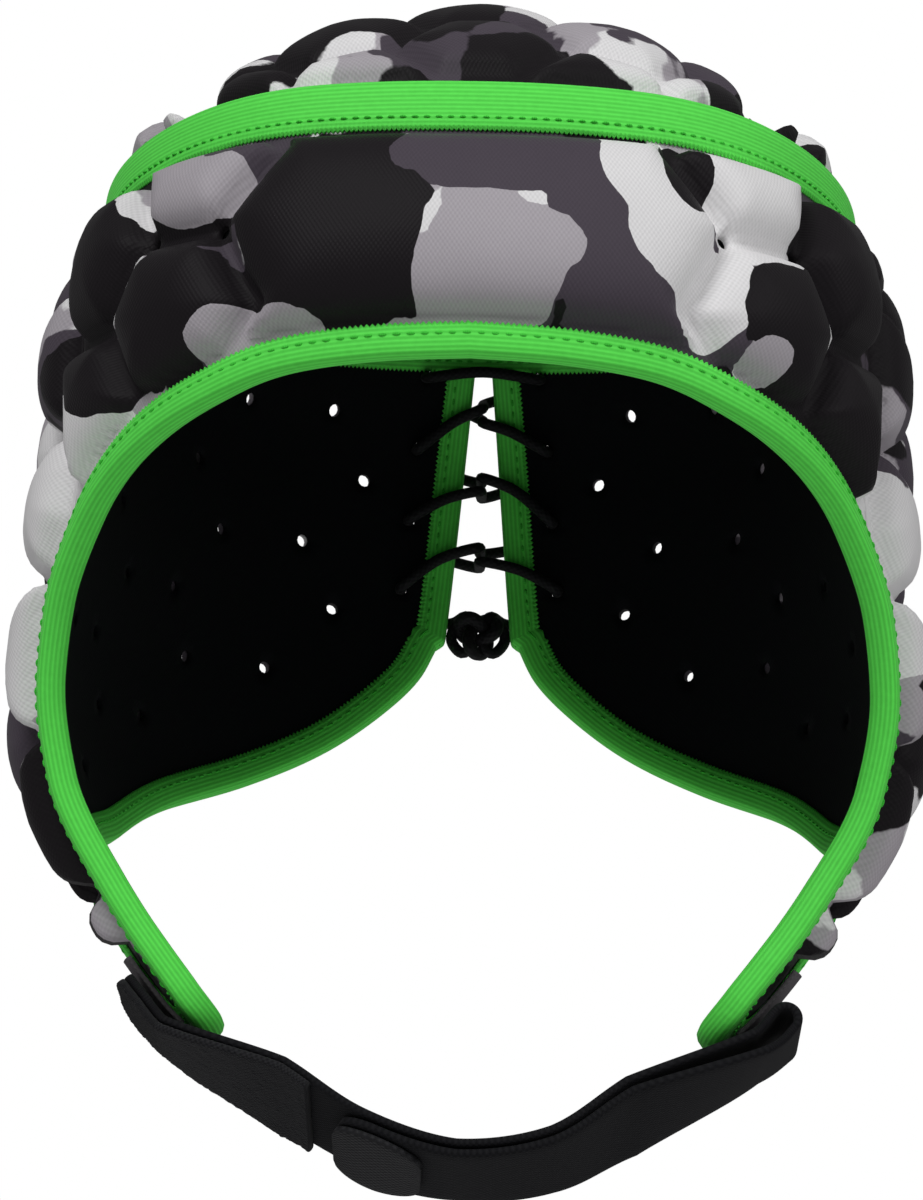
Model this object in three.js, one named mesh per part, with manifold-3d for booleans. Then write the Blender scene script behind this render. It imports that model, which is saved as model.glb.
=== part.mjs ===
// A padded rugby scrum cap: three padded crown panels, a padded ring of forehead and side panels
// with cheek tabs, black linings, folded binding tapes, a laced back and a hook-and-loop chin strap.
// Millimetres, +Z up, the face opening looks along -Y, +X is the wearer's left.
// The origin is the highest point of the head hollow, where the cap sits on the crown of the head.
import * as THREE from 'three';
import { mergeVertices } from 'three/addons/utils/BufferGeometryUtils.js';
import Module from 'manifold-3d';

const wasm = await Module();
wasm.setup();

// Head hollow
const headBreadth = 164;
const headFront = 98;
const headBack = 100;
const crownDrop = 75;
const wearDepth = 243;
const planPower = 2.4;

// Layers, measured outwards from the hollow
const liningWall = 1.0;
const layerGap = 0.3;
const tapeGap = 0.5;
const clothBase = 1.7;
const padRise = 7.0;
const shoulder = 8.5;
const panelInside = liningWall + layerGap;
const clothLevel = panelInside + clothBase;

// Pads and vent holes
const padPitch = 30.6;
const firstPadDrop = 74;
const ventRadius = 2.3;
const ventMargin = 5;
const backLean = 0.2;

// Binding tape and the flat margins it covers
const tapeWidth = 8;
const tapeWall = 0.9;
const tapeMargin = tapeWidth + 0.6;
const topTapeWidth = 10.5;
const topMargin = topTapeWidth + 0.6;
const laceMargin = 13;
const seamMargin = 2.2;
const faceStep = 13;
const outlineStep = 17;
const seamEndStep = 15;

// Heights of the ring of panels and the width of its pieces
const ringTopFront = 28;
const ringTopBack = 38;
const standProud = 6;
const standDepth = 17;
const frontPanelHalf = 97;
const seamLean = 14;
const crownSeam = 57;
const laceGapTop = 1.0;
const laceGapLow = 7.2;

// Ear vents
const earDrop = 119;
const earReach = 147;
const earHoleRadius = 8;

// Lace and knot
const laceDiameter = 2.6;
const laceInset = 10.6;
const laceHoleRadius = 2.3;
const knotSize = 13;

// Chin strap
const strapWidth = 25;
const strapWall = 1.8;
const strapFold = 5.2;
const patchWall = 1.4;
const tabTapeWidth = 14;
const tabTapeWall = 1.0;

const clamp = (value, low, high) => Math.min(high, Math.max(low, value));
const smooth = (low, high, value) => {
  const t = clamp((value - low) / (high - low), 0, 1);
  return t * t * (3 - 2 * t);
};
const signedPower = (value, power) => Math.sign(value) * Math.abs(value) ** power;

// Sections of the hollow below the crown: drop as a share of wearDepth, then the half breadth,
// the reach to the front and the reach to the back as shares of the sizes at the crown's foot
const sections = {
  columns: ['drop', 'breadth', 'front', 'back'],
  rows: [
    [0.309, 1.0, 1.0, 1.0],
    [0.391, 1.006, 1.0, 1.0],
    [0.453, 1.03, 0.99, 0.98],
    [0.518, 1.061, 0.975, 0.945],
    [0.576, 1.067, 0.953, 0.91],
    [0.658, 1.03, 0.89, 0.84],
    [0.745, 0.905, 0.83, 0.77],
    [0.835, 0.72, 0.76, 0.7],
    [0.864, 0.63, 0.73, 0.68],
    [0.905, 0.5, 0.68, 0.64],
  ],
};

// Reads a column of a table at a place along another column, on a smooth curve that never overshoots
function readTable(table, from, to, at) {
  const xi = table.columns.indexOf(from);
  const yi = table.columns.indexOf(to);
  const rows = table.rows;
  const last = rows.length - 1;
  const x = clamp(at, rows[0][xi], rows[last][xi]);
  let k = 0;
  while (k < last - 1 && rows[k + 1][xi] < x) k += 1;
  const rise = (i) => (rows[i + 1][yi] - rows[i][yi]) / (rows[i + 1][xi] - rows[i][xi]);
  const slope = (i) => {
    if (i <= 0) return rise(0);
    if (i >= last) return rise(last - 1);
    const a = rise(i - 1);
    const b = rise(i);
    return a * b <= 0 ? 0 : (2 * a * b) / (a + b);
  };
  const width = rows[k + 1][xi] - rows[k][xi];
  const t = (x - rows[k][xi]) / width;
  const t2 = t * t;
  const t3 = t2 * t;
  return rows[k][yi] * (2 * t3 - 3 * t2 + 1) + rows[k + 1][yi] * (3 * t2 - 2 * t3)
    + width * (slope(k) * (t3 - 2 * t2 + t) + slope(k + 1) * (t3 - t2));
}

// Reaches of the hollow at a height: half breadth, front and back
function reaches(z) {
  if (z > -crownDrop) {
    const lean = 1 + z / crownDrop;
    const share = Math.sqrt(Math.max(0, 1 - lean * lean));
    return [headBreadth / 2 * share, headFront * share, headBack * share];
  }
  const drop = -z / wearDepth;
  const start = crownDrop / wearDepth;
  const at = Math.max(drop, start);
  return [
    headBreadth / 2 * readTable(sections, 'drop', 'breadth', at),
    headFront * readTable(sections, 'drop', 'front', at),
    headBack * readTable(sections, 'drop', 'back', at),
  ];
}

// A point of the hollow's surface: turn is the angle from the front, towards +X
function hollowPoint(turn, z) {
  const [side, front, back] = reaches(z);
  const s = signedPower(Math.sin(turn), 2 / planPower);
  const c = signedPower(Math.cos(turn), 2 / planPower);
  return new THREE.Vector3(side * s, c > 0 ? -front * c : -back * c, z);
}

// Arc length around the fullest section, from the front to the back
const girth = [0];
const girthSteps = 720;
for (let i = 1; i <= girthSteps; i += 1) {
  const a = hollowPoint(Math.PI * (i - 1) / girthSteps, -crownDrop);
  const b = hollowPoint(Math.PI * i / girthSteps, -crownDrop);
  girth.push(girth[i - 1] + a.distanceTo(b));
}
const halfGirth = girth[girthSteps];
function turnAt(around) {
  const reach = Math.abs(around);
  let k = 1;
  while (k < girthSteps && girth[k] < reach) k += 1;
  const part = (reach - girth[k - 1]) / (girth[k] - girth[k - 1]);
  return Math.sign(around) * Math.PI * (k - 1 + part) / girthSteps;
}

// Lifts a surface point off the hollow along its outward normal
function lifted(surface, u, v, lift) {
  const point = surface(u, v);
  const step = 0.02;
  const du = surface(u + step, v).sub(surface(u - step, v));
  const dv = surface(u, v + step).sub(surface(u, v - step));
  const normal = du.cross(dv).normalize();
  const inside = new THREE.Vector3(0, 0, Math.min(point.z - 30, -crownDrop));
  if (normal.dot(point.clone().sub(inside)) < 0) normal.negate();
  return point.addScaledVector(normal, lift);
}

// The ring's top line, lower at the back
const ringTop = (u) => -(ringTopFront + (ringTopBack - ringTopFront)
  * smooth(0.12 * halfGirth, 0.62 * halfGirth, Math.abs(u)));
// The ring's sheet: u is the arc length from the front, v is the height.
// Its top edge stands proud of the hollow, so that the crown tucks in behind it.
function ringSheet(u, v) {
  const point = hollowPoint(turnAt(u), v);
  const t = Math.max(0, (v - ringTop(u)) / standDepth + 1);
  const reach = Math.hypot(point.x, point.y);
  const push = 1 + standProud * t * t / reach;
  return new THREE.Vector3(point.x * push, point.y * push, v);
}
// The crown's sheet: u and v are arc lengths from the apex, to the side and to the front
function crownSheet(u, v) {
  const reach = Math.hypot(u, v);
  if (reach < 1e-6) return new THREE.Vector3(0, 0, 0);
  const front = v > 0 ? headFront : headBack;
  const tangent = (Math.abs(u) * front) / Math.max(1e-9, Math.abs(v) * headBreadth / 2);
  const quarter = Math.atan(tangent ** (planPower / 2));
  const turn = Math.sign(u || 1) * (v > 0 ? quarter : Math.PI - quarter);
  const side = hollowPoint(turn, -crownDrop);
  const radius = Math.hypot(side.x, side.y);
  const mean = Math.sqrt((radius * radius + crownDrop * crownDrop) / 2);
  const angle = reach / mean;
  return new THREE.Vector3(
    side.x * Math.sin(angle), side.y * Math.sin(angle), -crownDrop * (1 - Math.cos(angle)),
  );
}

// Flat geometry
const far = 400;
const sub = (a, b) => [a[0] - b[0], a[1] - b[1]];
const mix = (a, b, t) => [a[0] + (b[0] - a[0]) * t, a[1] + (b[1] - a[1]) * t];
const cross = (a, b) => a[0] * b[1] - a[1] * b[0];
const length = (a) => Math.hypot(a[0], a[1]);
const keyOf = (p) => `${Math.round(p[0] * 500)},${Math.round(p[1] * 500)}`;
function area(loop) {
  let sum = 0;
  loop.forEach((p, i) => {
    sum += cross(p, loop[(i + 1) % loop.length]);
  });
  return sum / 2;
}
function middle(loop) {
  let x = 0;
  let y = 0;
  let total = 0;
  loop.forEach((p, i) => {
    const q = loop[(i + 1) % loop.length];
    const w = cross(p, q);
    x += (p[0] + q[0]) * w;
    y += (p[1] + q[1]) * w;
    total += w;
  });
  return [x / (3 * total), y / (3 * total)];
}
function distanceToLoop(p, loop) {
  let best = Infinity;
  loop.forEach((a, i) => {
    const b = loop[(i + 1) % loop.length];
    const ab = sub(b, a);
    const ap = sub(p, a);
    const t = clamp((ab[0] * ap[0] + ab[1] * ap[1]) / (ab[0] ** 2 + ab[1] ** 2 || 1), 0, 1);
    best = Math.min(best, Math.hypot(ap[0] - ab[0] * t, ap[1] - ab[1] * t));
  });
  return best;
}
function insideLoop(p, loop) {
  let inside = false;
  loop.forEach((a, i) => {
    const b = loop[(i + 1) % loop.length];
    if ((a[1] > p[1]) !== (b[1] > p[1])) {
      const x = a[0] + (b[0] - a[0]) * (p[1] - a[1]) / (b[1] - a[1]);
      if (x > p[0]) inside = !inside;
    }
  });
  return inside;
}
// Keeps the part of a loop that lies inside a convex, anticlockwise window
function clipTo(loop, window) {
  let result = loop;
  window.forEach((a, i) => {
    const b = window[(i + 1) % window.length];
    const side = (p) => cross(sub(b, a), sub(p, a));
    const next = [];
    result.forEach((p, k) => {
      const q = result[(k + 1) % result.length];
      const sp = side(p);
      const sq = side(q);
      if (sp >= 0) next.push(p);
      if ((sp > 0 && sq < 0) || (sp < 0 && sq > 0)) next.push(mix(p, q, sp / (sp - sq)));
    });
    result = next;
  });
  return tidyLoop(result);
}
function tidyLoop(loop) {
  const kept = loop.filter((p, i) => keyOf(p) !== keyOf(loop[(i + 1) % loop.length]));
  return kept.length > 2 && Math.abs(area(kept)) > 0.05 ? kept : [];
}
// Moves each side of a loop inwards by its own width
function insetLoop(loop, widths) {
  return loop.map((p, i) => {
    const before = (i + loop.length - 1) % loop.length;
    const a = sub(p, loop[before]);
    const b = sub(loop[(i + 1) % loop.length], p);
    const na = [-a[1] / length(a), a[0] / length(a)];
    const nb = [-b[1] / length(b), b[0] / length(b)];
    const turn = cross(na, nb);
    const wa = widths[before];
    const wb = widths[i];
    if (Math.abs(turn) < 0.2) {
      const n = [na[0] + nb[0], na[1] + nb[1]];
      const w = (wa + wb) / 2 / (length(n) / 2);
      return [p[0] + n[0] / length(n) * w, p[1] + n[1] / length(n) * w];
    }
    return [p[0] + (wa * nb[1] - wb * na[1]) / turn, p[1] + (wb * na[0] - wa * nb[0]) / turn];
  });
}
// A fine line on a smooth curve through an open row of points
function fineLine(points) {
  const curve = new THREE.CatmullRomCurve3(
    points.map((p) => new THREE.Vector3(p[0], p[1], 0)), false, 'centripetal',
  );
  const count = Math.ceil(curve.getLength());
  return curve.getSpacedPoints(count).map((p) => [p.x, p.y]);
}
// Redraws an open line in even steps
function evenLine(line, step) {
  const total = line.slice(1).reduce((sum, p, i) => sum + length(sub(p, line[i])), 0);
  const count = Math.max(1, Math.round(total / step));
  const result = [line[0]];
  let walked = 0;
  line.slice(1).forEach((p, i) => {
    const reach = length(sub(p, line[i]));
    while (result.length < count && walked + reach >= total * result.length / count) {
      result.push(mix(line[i], p, (total * result.length / count - walked) / reach));
    }
    walked += reach;
  });
  return [...result, line[line.length - 1]];
}

// Pad lattice of the ring: the middle of each column as a share of half the girth.
// Every second column sits half a pitch higher.
const padColumns = [0, 0.105, 0.21, 0.304, 0.4, 0.5, 0.606, 0.716, 0.83, 0.946, 1.06];
function ringPad(column, row) {
  const index = Math.abs(column);
  const half = index % 2 === 1 ? padPitch / 2 : 0;
  const v = -firstPadDrop + half - row * padPitch;
  const lean = backLean * smooth(4, 8, index);
  return [Math.sign(column) * (padColumns[index] * halfGirth + lean * (v + firstPadDrop)), v];
}
// Pad lattice of the crown, in even hexagons
const crownPitch = 29.5;
function crownPad(column, row) {
  const half = Math.abs(column) % 2 === 1 ? crownPitch / 2 : 0;
  return [column * crownPitch * Math.sqrt(3) / 2, row * crownPitch + half];
}
// The six neighbours' common corners, anticlockwise, are the hexagon of one pad
function hexagon(pad, column, row, lowersOddRows) {
  const odd = Math.abs(column) % 2 === 1;
  const up = lowersOddRows ? -1 : 1;
  const shift = (sign) => (odd ? (sign > 0 ? up : 0) : (sign > 0 ? 0 : -up));
  const around = [
    pad(column + 1, row + shift(1)),
    pad(column, row + up),
    pad(column - 1, row + shift(1)),
    pad(column - 1, row + shift(-1)),
    pad(column, row - up),
    pad(column + 1, row + shift(-1)),
  ];
  const centre = pad(column, row);
  return around.map((p, i) => {
    const q = around[(i + 1) % 6];
    return [(centre[0] + p[0] + q[0]) / 3, (centre[1] + p[1] + q[1]) / 3];
  });
}

// Cells of a panel: the lattice clipped by its pad outline. Cells of one group make one large pad.
function makeCells(padOutline, lattice) {
  const cells = [];
  const groups = new Map();
  for (let column = -lattice.columns; column <= lattice.columns; column += 1) {
    for (let row = lattice.firstRow; row <= lattice.lastRow; row += 1) {
      const whole = hexagon(lattice.pad, column, row, lattice.lowersOddRows);
      const group = lattice.groupOf ? lattice.groupOf(column, row) : null;
      lattice.bands.forEach(([low, high]) => {
        const band = [[-far, low], [far, low], [far, high], [-far, high]];
        const window = clipTo(whole, band);
        const loop = window.length > 0 ? clipTo(padOutline, window) : [];
        if (loop.length > 0 && group) {
          if (!groups.has(group)) groups.set(group, []);
          groups.get(group).push(loop);
        } else if (loop.length > 0) {
          cells.push(loop);
        }
      });
    }
  }
  groups.forEach((loops) => cells.push(joinLoops(loops)));
  return cells;
}
// Joins touching loops into one by dropping the sides that they share
function joinLoops(loops) {
  const sides = new Map();
  loops.forEach((loop) => loop.forEach((p, i) => {
    const q = loop[(i + 1) % loop.length];
    const back = `${keyOf(q)}>${keyOf(p)}`;
    if (sides.has(back)) sides.delete(back);
    else sides.set(`${keyOf(p)}>${keyOf(q)}`, [p, q]);
  }));
  const next = new Map([...sides.values()].map(([p, q]) => [keyOf(p), q]));
  const first = [...sides.values()][0][0];
  const joined = [first];
  let at = next.get(keyOf(first));
  while (keyOf(at) !== keyOf(first)) {
    joined.push(at);
    at = next.get(keyOf(at));
  }
  return joined;
}
// Opens a vent at each corner where three cells meet. Each cell keeps its whole corners too,
// and its rings follow those.
function openVents(cells, padOutline, hasVents) {
  const count = new Map();
  cells.forEach((loop) => loop.forEach((p) => count.set(keyOf(p), (count.get(keyOf(p)) || 0) + 1)));
  const isVent = (p) => hasVents && count.get(keyOf(p)) === 3
    && distanceToLoop(p, padOutline) > ventMargin;
  return cells.map((loop) => {
    const cell = { loop: [], corners: [] };
    loop.forEach((p, i) => {
      const before = loop[(i + loop.length - 1) % loop.length];
      const after = loop[(i + 1) % loop.length];
      const points = isVent(p) ? [
        mix(p, before, ventRadius / length(sub(before, p))),
        mix(p, after, ventRadius / length(sub(after, p))),
      ] : [p];
      points.forEach((point) => {
        cell.loop.push(point);
        cell.corners.push(p);
      });
    });
    return cell;
  });
}

// Collects triangles of a closed shell over a sheet
class Shell {
  constructor(surface, chords) {
    this.surface = surface;
    this.chords = chords;
    this.places = [];
    this.faces = [];
    this.known = new Map();
  }

  corner(p, lift) {
    const key = `${keyOf(p)},${lift.toFixed(3)}`;
    if (!this.known.has(key)) {
      this.known.set(key, this.places.length / 3);
      const chord = this.chords.get(keyOf(p));
      const at = chord
        ? lifted(this.surface, ...chord.from, lift)
          .lerp(lifted(this.surface, ...chord.to, lift), chord.t)
        : lifted(this.surface, p[0], p[1], lift);
      this.places.push(at.x, at.y, at.z);
    }
    return this.known.get(key);
  }

  face(a, b, c) {
    if (a !== b && b !== c && c !== a) this.faces.push(a, b, c);
  }
}

// Heights over a cell: a rounded pad that rises from its channel to a full shoulder
function padLift(p, loop, rise) {
  const share = clamp(distanceToLoop(p, loop) / shoulder, 0, 1);
  return rise * Math.sqrt(1 - (1 - share) ** 2);
}

// Adds one face of a cell, in rings towards its middle
function addCell(shell, { loop, corners }, level, rise, rings, outwards) {
  const centre = middle(corners);
  const deepest = distanceToLoop(centre, corners);
  const fullRise = rise * clamp(deepest / shoulder, 0, 1);
  const cornerAt = (i, t) => {
    if (t === 0) return shell.corner(loop[i], level);
    const q = mix(corners[i], centre, t);
    return shell.corner(q, level + (fullRise > 0 ? padLift(q, corners, fullRise) : 0));
  };
  const steps = [0, ...rings];
  steps.forEach((t, k) => {
    const next = k + 1 < steps.length ? steps[k + 1] : 1;
    loop.forEach((p, i) => {
      const j = (i + 1) % loop.length;
      const a = cornerAt(i, t);
      const b = cornerAt(j, t);
      const c = cornerAt(j, next);
      const d = cornerAt(i, next);
      if (outwards) {
        shell.face(a, b, c);
        shell.face(a, c, d);
      } else {
        shell.face(a, c, b);
        shell.face(a, d, c);
      }
    });
  });
}
// Adds one face of a margin strip as a fan, so that the tape over it can turn along the same lines.
// The strip's loop starts with its side on the outline.
function addMargin(shell, loop, level, outwards) {
  const start = (loop[0][0] + loop[1][0] > 0) === (level > 0) ? 0 : 1;
  const fan = loop.map((_, i) => shell.corner(loop[(i + start) % loop.length], level));
  for (let i = 1; i + 1 < fan.length; i += 1) {
    if (outwards) shell.face(fan[0], fan[i], fan[i + 1]);
    else shell.face(fan[0], fan[i + 1], fan[i]);
  }
}

// Builds one layer between two levels, with pads on its outer face where rise is above zero
function layer(sheet, plan, low, high, rise) {
  const shell = new Shell(sheet, plan.chords);
  const sides = new Map();
  const note = (loop) => loop.forEach((p, i) => {
    const q = loop[(i + 1) % loop.length];
    const back = `${keyOf(q)}>${keyOf(p)}`;
    if (sides.has(back)) sides.delete(back);
    else sides.set(`${keyOf(p)}>${keyOf(q)}`, [p, q]);
  });
  plan.cells.forEach((cell) => {
    const large = area(cell.loop) > 2 * padPitch * padPitch;
    const padded = rise > 0 && plan.isPadded(cell.corners);
    const small = area(cell.loop) < 0.4 * padPitch * padPitch;
    const bold = small ? [0.45] : [0.22, 0.55];
    const rings = large ? [0.16, 0.4, 0.7] : bold;
    const inner = large ? [0.35, 0.7] : [];
    addCell(shell, cell, high, padded ? rise : 0, padded ? rings : inner, true);
    addCell(shell, cell, low, 0, inner, false);
    note(cell.loop);
  });
  plan.margins.forEach((loop) => {
    addMargin(shell, loop, high, true);
    addMargin(shell, loop, low, false);
    note(loop);
  });
  sides.forEach(([p, q]) => {
    const a = shell.corner(p, low);
    const b = shell.corner(q, low);
    const c = shell.corner(q, high);
    const d = shell.corner(p, high);
    shell.face(a, b, c);
    shell.face(a, c, d);
  });
  return facingOut({ places: shell.places, faces: shell.faces });
}

// Plans a panel: its outline with a margin width per side, its pad cells and its margin strips
function planPanel(outline, widths, lattice, isPadded) {
  const padOutline = insetLoop(outline, widths);
  const cells = openVents(makeCells(padOutline, lattice), padOutline, lattice.hasVents);
  const corners = new Map();
  cells.forEach(({ loop }) => loop.forEach((p) => corners.set(keyOf(p), p)));
  const chords = new Map();
  const margins = outline.map((p, i) => {
    const j = (i + 1) % outline.length;
    const from = padOutline[i];
    const to = padOutline[j];
    const span = sub(to, from);
    const reach = length(span);
    const between = [...corners.values()]
      .map((c) => ({ c, t: (sub(c, from)[0] * span[0] + sub(c, from)[1] * span[1]) / reach ** 2 }))
      .filter(({ c, t }) => t > 1e-4 && t < 1 - 1e-4
        && Math.abs(cross(span, sub(c, from))) / reach < 2e-3
        && keyOf(c) !== keyOf(from) && keyOf(c) !== keyOf(to))
      .sort((a, b) => b.t - a.t);
    between.forEach(({ c, t }) => chords.set(keyOf(c), { from, to, t }));
    return [p, outline[j], to, ...between.map(({ c }) => c), from];
  });
  return { cells, margins, chords, isPadded };
}

// Outlines of the ring, as places around (share of half the girth) and down (share of wearDepth)
const faceEdge = {
  columns: ['around', 'down'],
  rows: [
    [0, 0.346], [0.068, 0.35], [0.129, 0.359], [0.1765, 0.3765], [0.224, 0.397], [0.265, 0.42],
    [0.3, 0.448], [0.33, 0.486], [0.355, 0.535], [0.371, 0.597], [0.373, 0.658], [0.364, 0.72],
    [0.35, 0.775], [0.34, 0.81],
  ],
};
const tabEnd = {
  columns: ['around', 'down'],
  rows: [[0.338, 0.838], [0.355, 0.858], [0.385, 0.866], [0.416, 0.86], [0.438, 0.84]],
};
const rearEdge = {
  columns: ['around', 'down'],
  rows: [
    [0.446, 0.812], [0.462, 0.775], [0.49, 0.738], [0.54, 0.708], [0.6, 0.69], [0.656, 0.677],
    [0.74, 0.64], [0.83, 0.603], [0.89, 0.566], [0.932, 0.524], [0.955, 0.491], [0.966, 0.462],
  ],
};
const place = ([around, down]) => [around * halfGirth, -down * wearDepth];
const faceCurve = fineLine(faceEdge.rows.map(place));
const seamAt = faceCurve.findIndex((p) => p[0] > frontPanelHalf);
const browLine = evenLine(faceCurve.slice(0, seamAt + 1), faceStep);
const cheekLine = evenLine(faceCurve.slice(seamAt), faceStep);
const tabLine = tabEnd.rows.map(place);
const rearLine = evenLine(fineLine(rearEdge.rows.map(place)), outlineStep);
const laceLow = -rearEdge.rows[rearEdge.rows.length - 1][1] * wearDepth;
const laceGap = (v) => laceGapTop + (laceGapLow - laceGapTop)
  * clamp((v + ringTopBack) / (laceLow + ringTopBack), 0, 1);
const noseReach = tapeWall + layerGap;
const laceEdge = (v) => [halfGirth - laceGap(v) - noseReach, v];
const laceTop = ringTop(halfGirth);
const laceTapeEnd = laceTop - topMargin - 2.4;
const laceSteps = 4;
const laceLine = Array.from({ length: laceSteps + 1 }, (_, i) => (
  laceEdge(laceLow + (laceTapeEnd - laceLow) * i / laceSteps)
));
laceLine.push(laceEdge(laceTop));

// Front panel outline, anticlockwise, mirrored from its +X half
const mirrorLine = (line) => line.map(([u, v]) => [-u, v]).reverse();
const seamFoot = cheekLine[0];
const topStep = (from, to) => {
  const count = Math.ceil((to - from) / outlineStep);
  return Array.from({ length: count + 1 }, (_, i) => {
    const u = from + (to - from) * i / count;
    return [u, ringTop(u)];
  });
};
function loopOf(runs) {
  const loop = [];
  const widths = [];
  runs.forEach(({ line, width }) => line.slice(0, -1).forEach((p) => {
    loop.push(p);
    widths.push(width);
  }));
  return { loop, widths };
}
const seamLine = (low, high) => {
  const rise = Math.abs(high[1] - low[1]);
  const ends = [low[1] < high[1] ? seamEndStep : topMargin + 1, low[1] < high[1] ? topMargin + 1 : seamEndStep];
  return [
    low, mix(low, high, ends[0] / rise), mix(low, high, 0.4), mix(low, high, 0.64),
    mix(low, high, 1 - ends[1] / rise), high,
  ];
};
const seamTop = seamFoot[0] + seamLean;
const frontTop = topStep(-seamTop, seamTop).reverse();
const frontOutline = loopOf([
  { line: [...mirrorLine(browLine).slice(0, -1), ...browLine], width: tapeMargin },
  { line: seamLine(seamFoot, frontTop[0]), width: seamMargin },
  { line: frontTop, width: topMargin },
  { line: seamLine(frontTop[frontTop.length - 1], [-seamFoot[0], seamFoot[1]]), width: seamMargin },
]);
const sideStart = seamFoot[0] + layerGap;
const sideFace = [[sideStart, seamFoot[1]], ...cheekLine.slice(1)];
const sideTop = topStep(seamTop + layerGap, laceLine[laceLine.length - 1][0]).reverse();
const sideOutline = loopOf([
  { line: [...sideFace, ...tabLine, rearLine[0]], width: tapeMargin },
  { line: [...rearLine.slice(0, -1), laceLine[0]], width: tapeMargin },
  { line: laceLine, width: laceMargin },
  { line: sideTop, width: topMargin },
  { line: seamLine(sideTop[sideTop.length - 1], sideFace[0]), width: seamMargin },
]);

const bareTabDrop = 0.793 * wearDepth;
const ringLattice = {
  bands: [[-far, -bareTabDrop], [-bareTabDrop, far]],
  columns: 9,
  firstRow: -2,
  lastRow: 5,
  pad: ringPad,
  lowersOddRows: true,
  hasVents: true,
  groupOf: (column) => (Math.abs(column) <= 1 ? 'forehead' : null),
};
const isBigEnough = (loop) => distanceToLoop(middle(loop), loop) > 3;
const isEarCell = (centre) => Math.hypot(centre[0] - earReach, centre[1] + earDrop) < padPitch / 2;
const frontPlan = planPanel(frontOutline.loop, frontOutline.widths, ringLattice, isBigEnough);
const sidePlan = planPanel(sideOutline.loop, sideOutline.widths, ringLattice, (loop) => {
  const centre = middle(loop);
  return isBigEnough(loop) && centre[1] > -bareTabDrop && !isEarCell(centre);
});

// Crown outline, just inside the ring's top tape
const crownStart = -1.5;
const crownSteps = 40;
const crownLoop = Array.from({ length: crownSteps }, (_, i) => {
  const turn = -2 * Math.PI * (i + 0.5) / crownSteps;
  let around = 0;
  const wrapped = ((turn % (2 * Math.PI)) + 2 * Math.PI) % (2 * Math.PI);
  const folded = Math.min(wrapped, 2 * Math.PI - wrapped);
  const k = Math.round(folded / Math.PI * girthSteps);
  around = girth[k];
  const z = ringTop(around);
  const side = hollowPoint(wrapped, -crownDrop);
  const radius = Math.hypot(side.x, side.y);
  const mean = Math.sqrt((radius * radius + crownDrop * crownDrop) / 2);
  const reach = Math.acos(1 + z / crownDrop) * mean - crownStart;
  return [reach * side.x / radius, -reach * side.y / radius];
});
if (area(crownLoop) < 0) crownLoop.reverse();
const crownWindow = (from, to) => [[from, -far], [to, -far], [to, far], [from, far]];
const crownLattice = {
  bands: [[-far, far]],
  columns: 5, firstRow: -5, lastRow: 5, pad: crownPad, lowersOddRows: false, hasVents: false,
};
function planCrown(from, to) {
  const loop = clipTo(crownLoop, crownWindow(from, to));
  return planPanel(loop, loop.map(() => seamMargin), crownLattice, isBigEnough);
}
const crownPlan = planCrown(-crownSeam, crownSeam);
const crownSidePlan = planCrown(crownSeam + layerGap, far);

// Mirrors a shell across the middle plane
function mirrored({ places, faces }) {
  const flipped = places.map((value, i) => (i % 3 === 0 ? -value : value));
  const turned = [];
  for (let i = 0; i < faces.length; i += 3) turned.push(faces[i], faces[i + 2], faces[i + 1]);
  return { places: flipped, faces: turned };
}

// Sweeps a closed section along stations. Each station maps a section point to space.
function sweep(stations, section, closed, isTurned = () => false) {
  const places = [];
  const faces = [];
  const sides = section.length;
  stations.forEach((station) => section.forEach((p) => {
    const at = station(p);
    places.push(at.x, at.y, at.z);
  }));
  const spans = closed ? stations.length : stations.length - 1;
  for (let k = 0; k < spans; k += 1) {
    const here = k * sides;
    const there = ((k + 1) % stations.length) * sides;
    for (let i = 0; i < sides; i += 1) {
      const j = (i + 1) % sides;
      if (isTurned(k)) {
        faces.push(here + i, there + i, here + j, there + i, there + j, here + j);
      } else {
        faces.push(here + i, there + i, there + j, here + i, there + j, here + j);
      }
    }
  }
  if (!closed) {
    const flat = section.map((p) => new THREE.Vector2(p[0], p[1]));
    const caps = THREE.ShapeUtils.triangulateShape(flat, []);
    const end = (stations.length - 1) * sides;
    const anticlockwise = !THREE.ShapeUtils.isClockWise(flat);
    caps.forEach(([a, b, c]) => {
      if (anticlockwise) {
        faces.push(a, b, c, end + a, end + c, end + b);
      } else {
        faces.push(a, c, b, end + a, end + b, end + c);
      }
    });
  }
  return { places, faces };
}
// Turns a closed shell the right way out by the sign of its volume
function facingOut({ places, faces }) {
  let volume = 0;
  const at = (i) => new THREE.Vector3().fromArray(places, 3 * i);
  for (let i = 0; i < faces.length; i += 3) {
    volume += at(faces[i]).dot(at(faces[i + 1]).cross(at(faces[i + 2])));
  }
  if (volume > 0) return { places, faces };
  const turned = [];
  for (let i = 0; i < faces.length; i += 3) turned.push(faces[i], faces[i + 2], faces[i + 1]);
  return { places, faces: turned };
}

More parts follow.
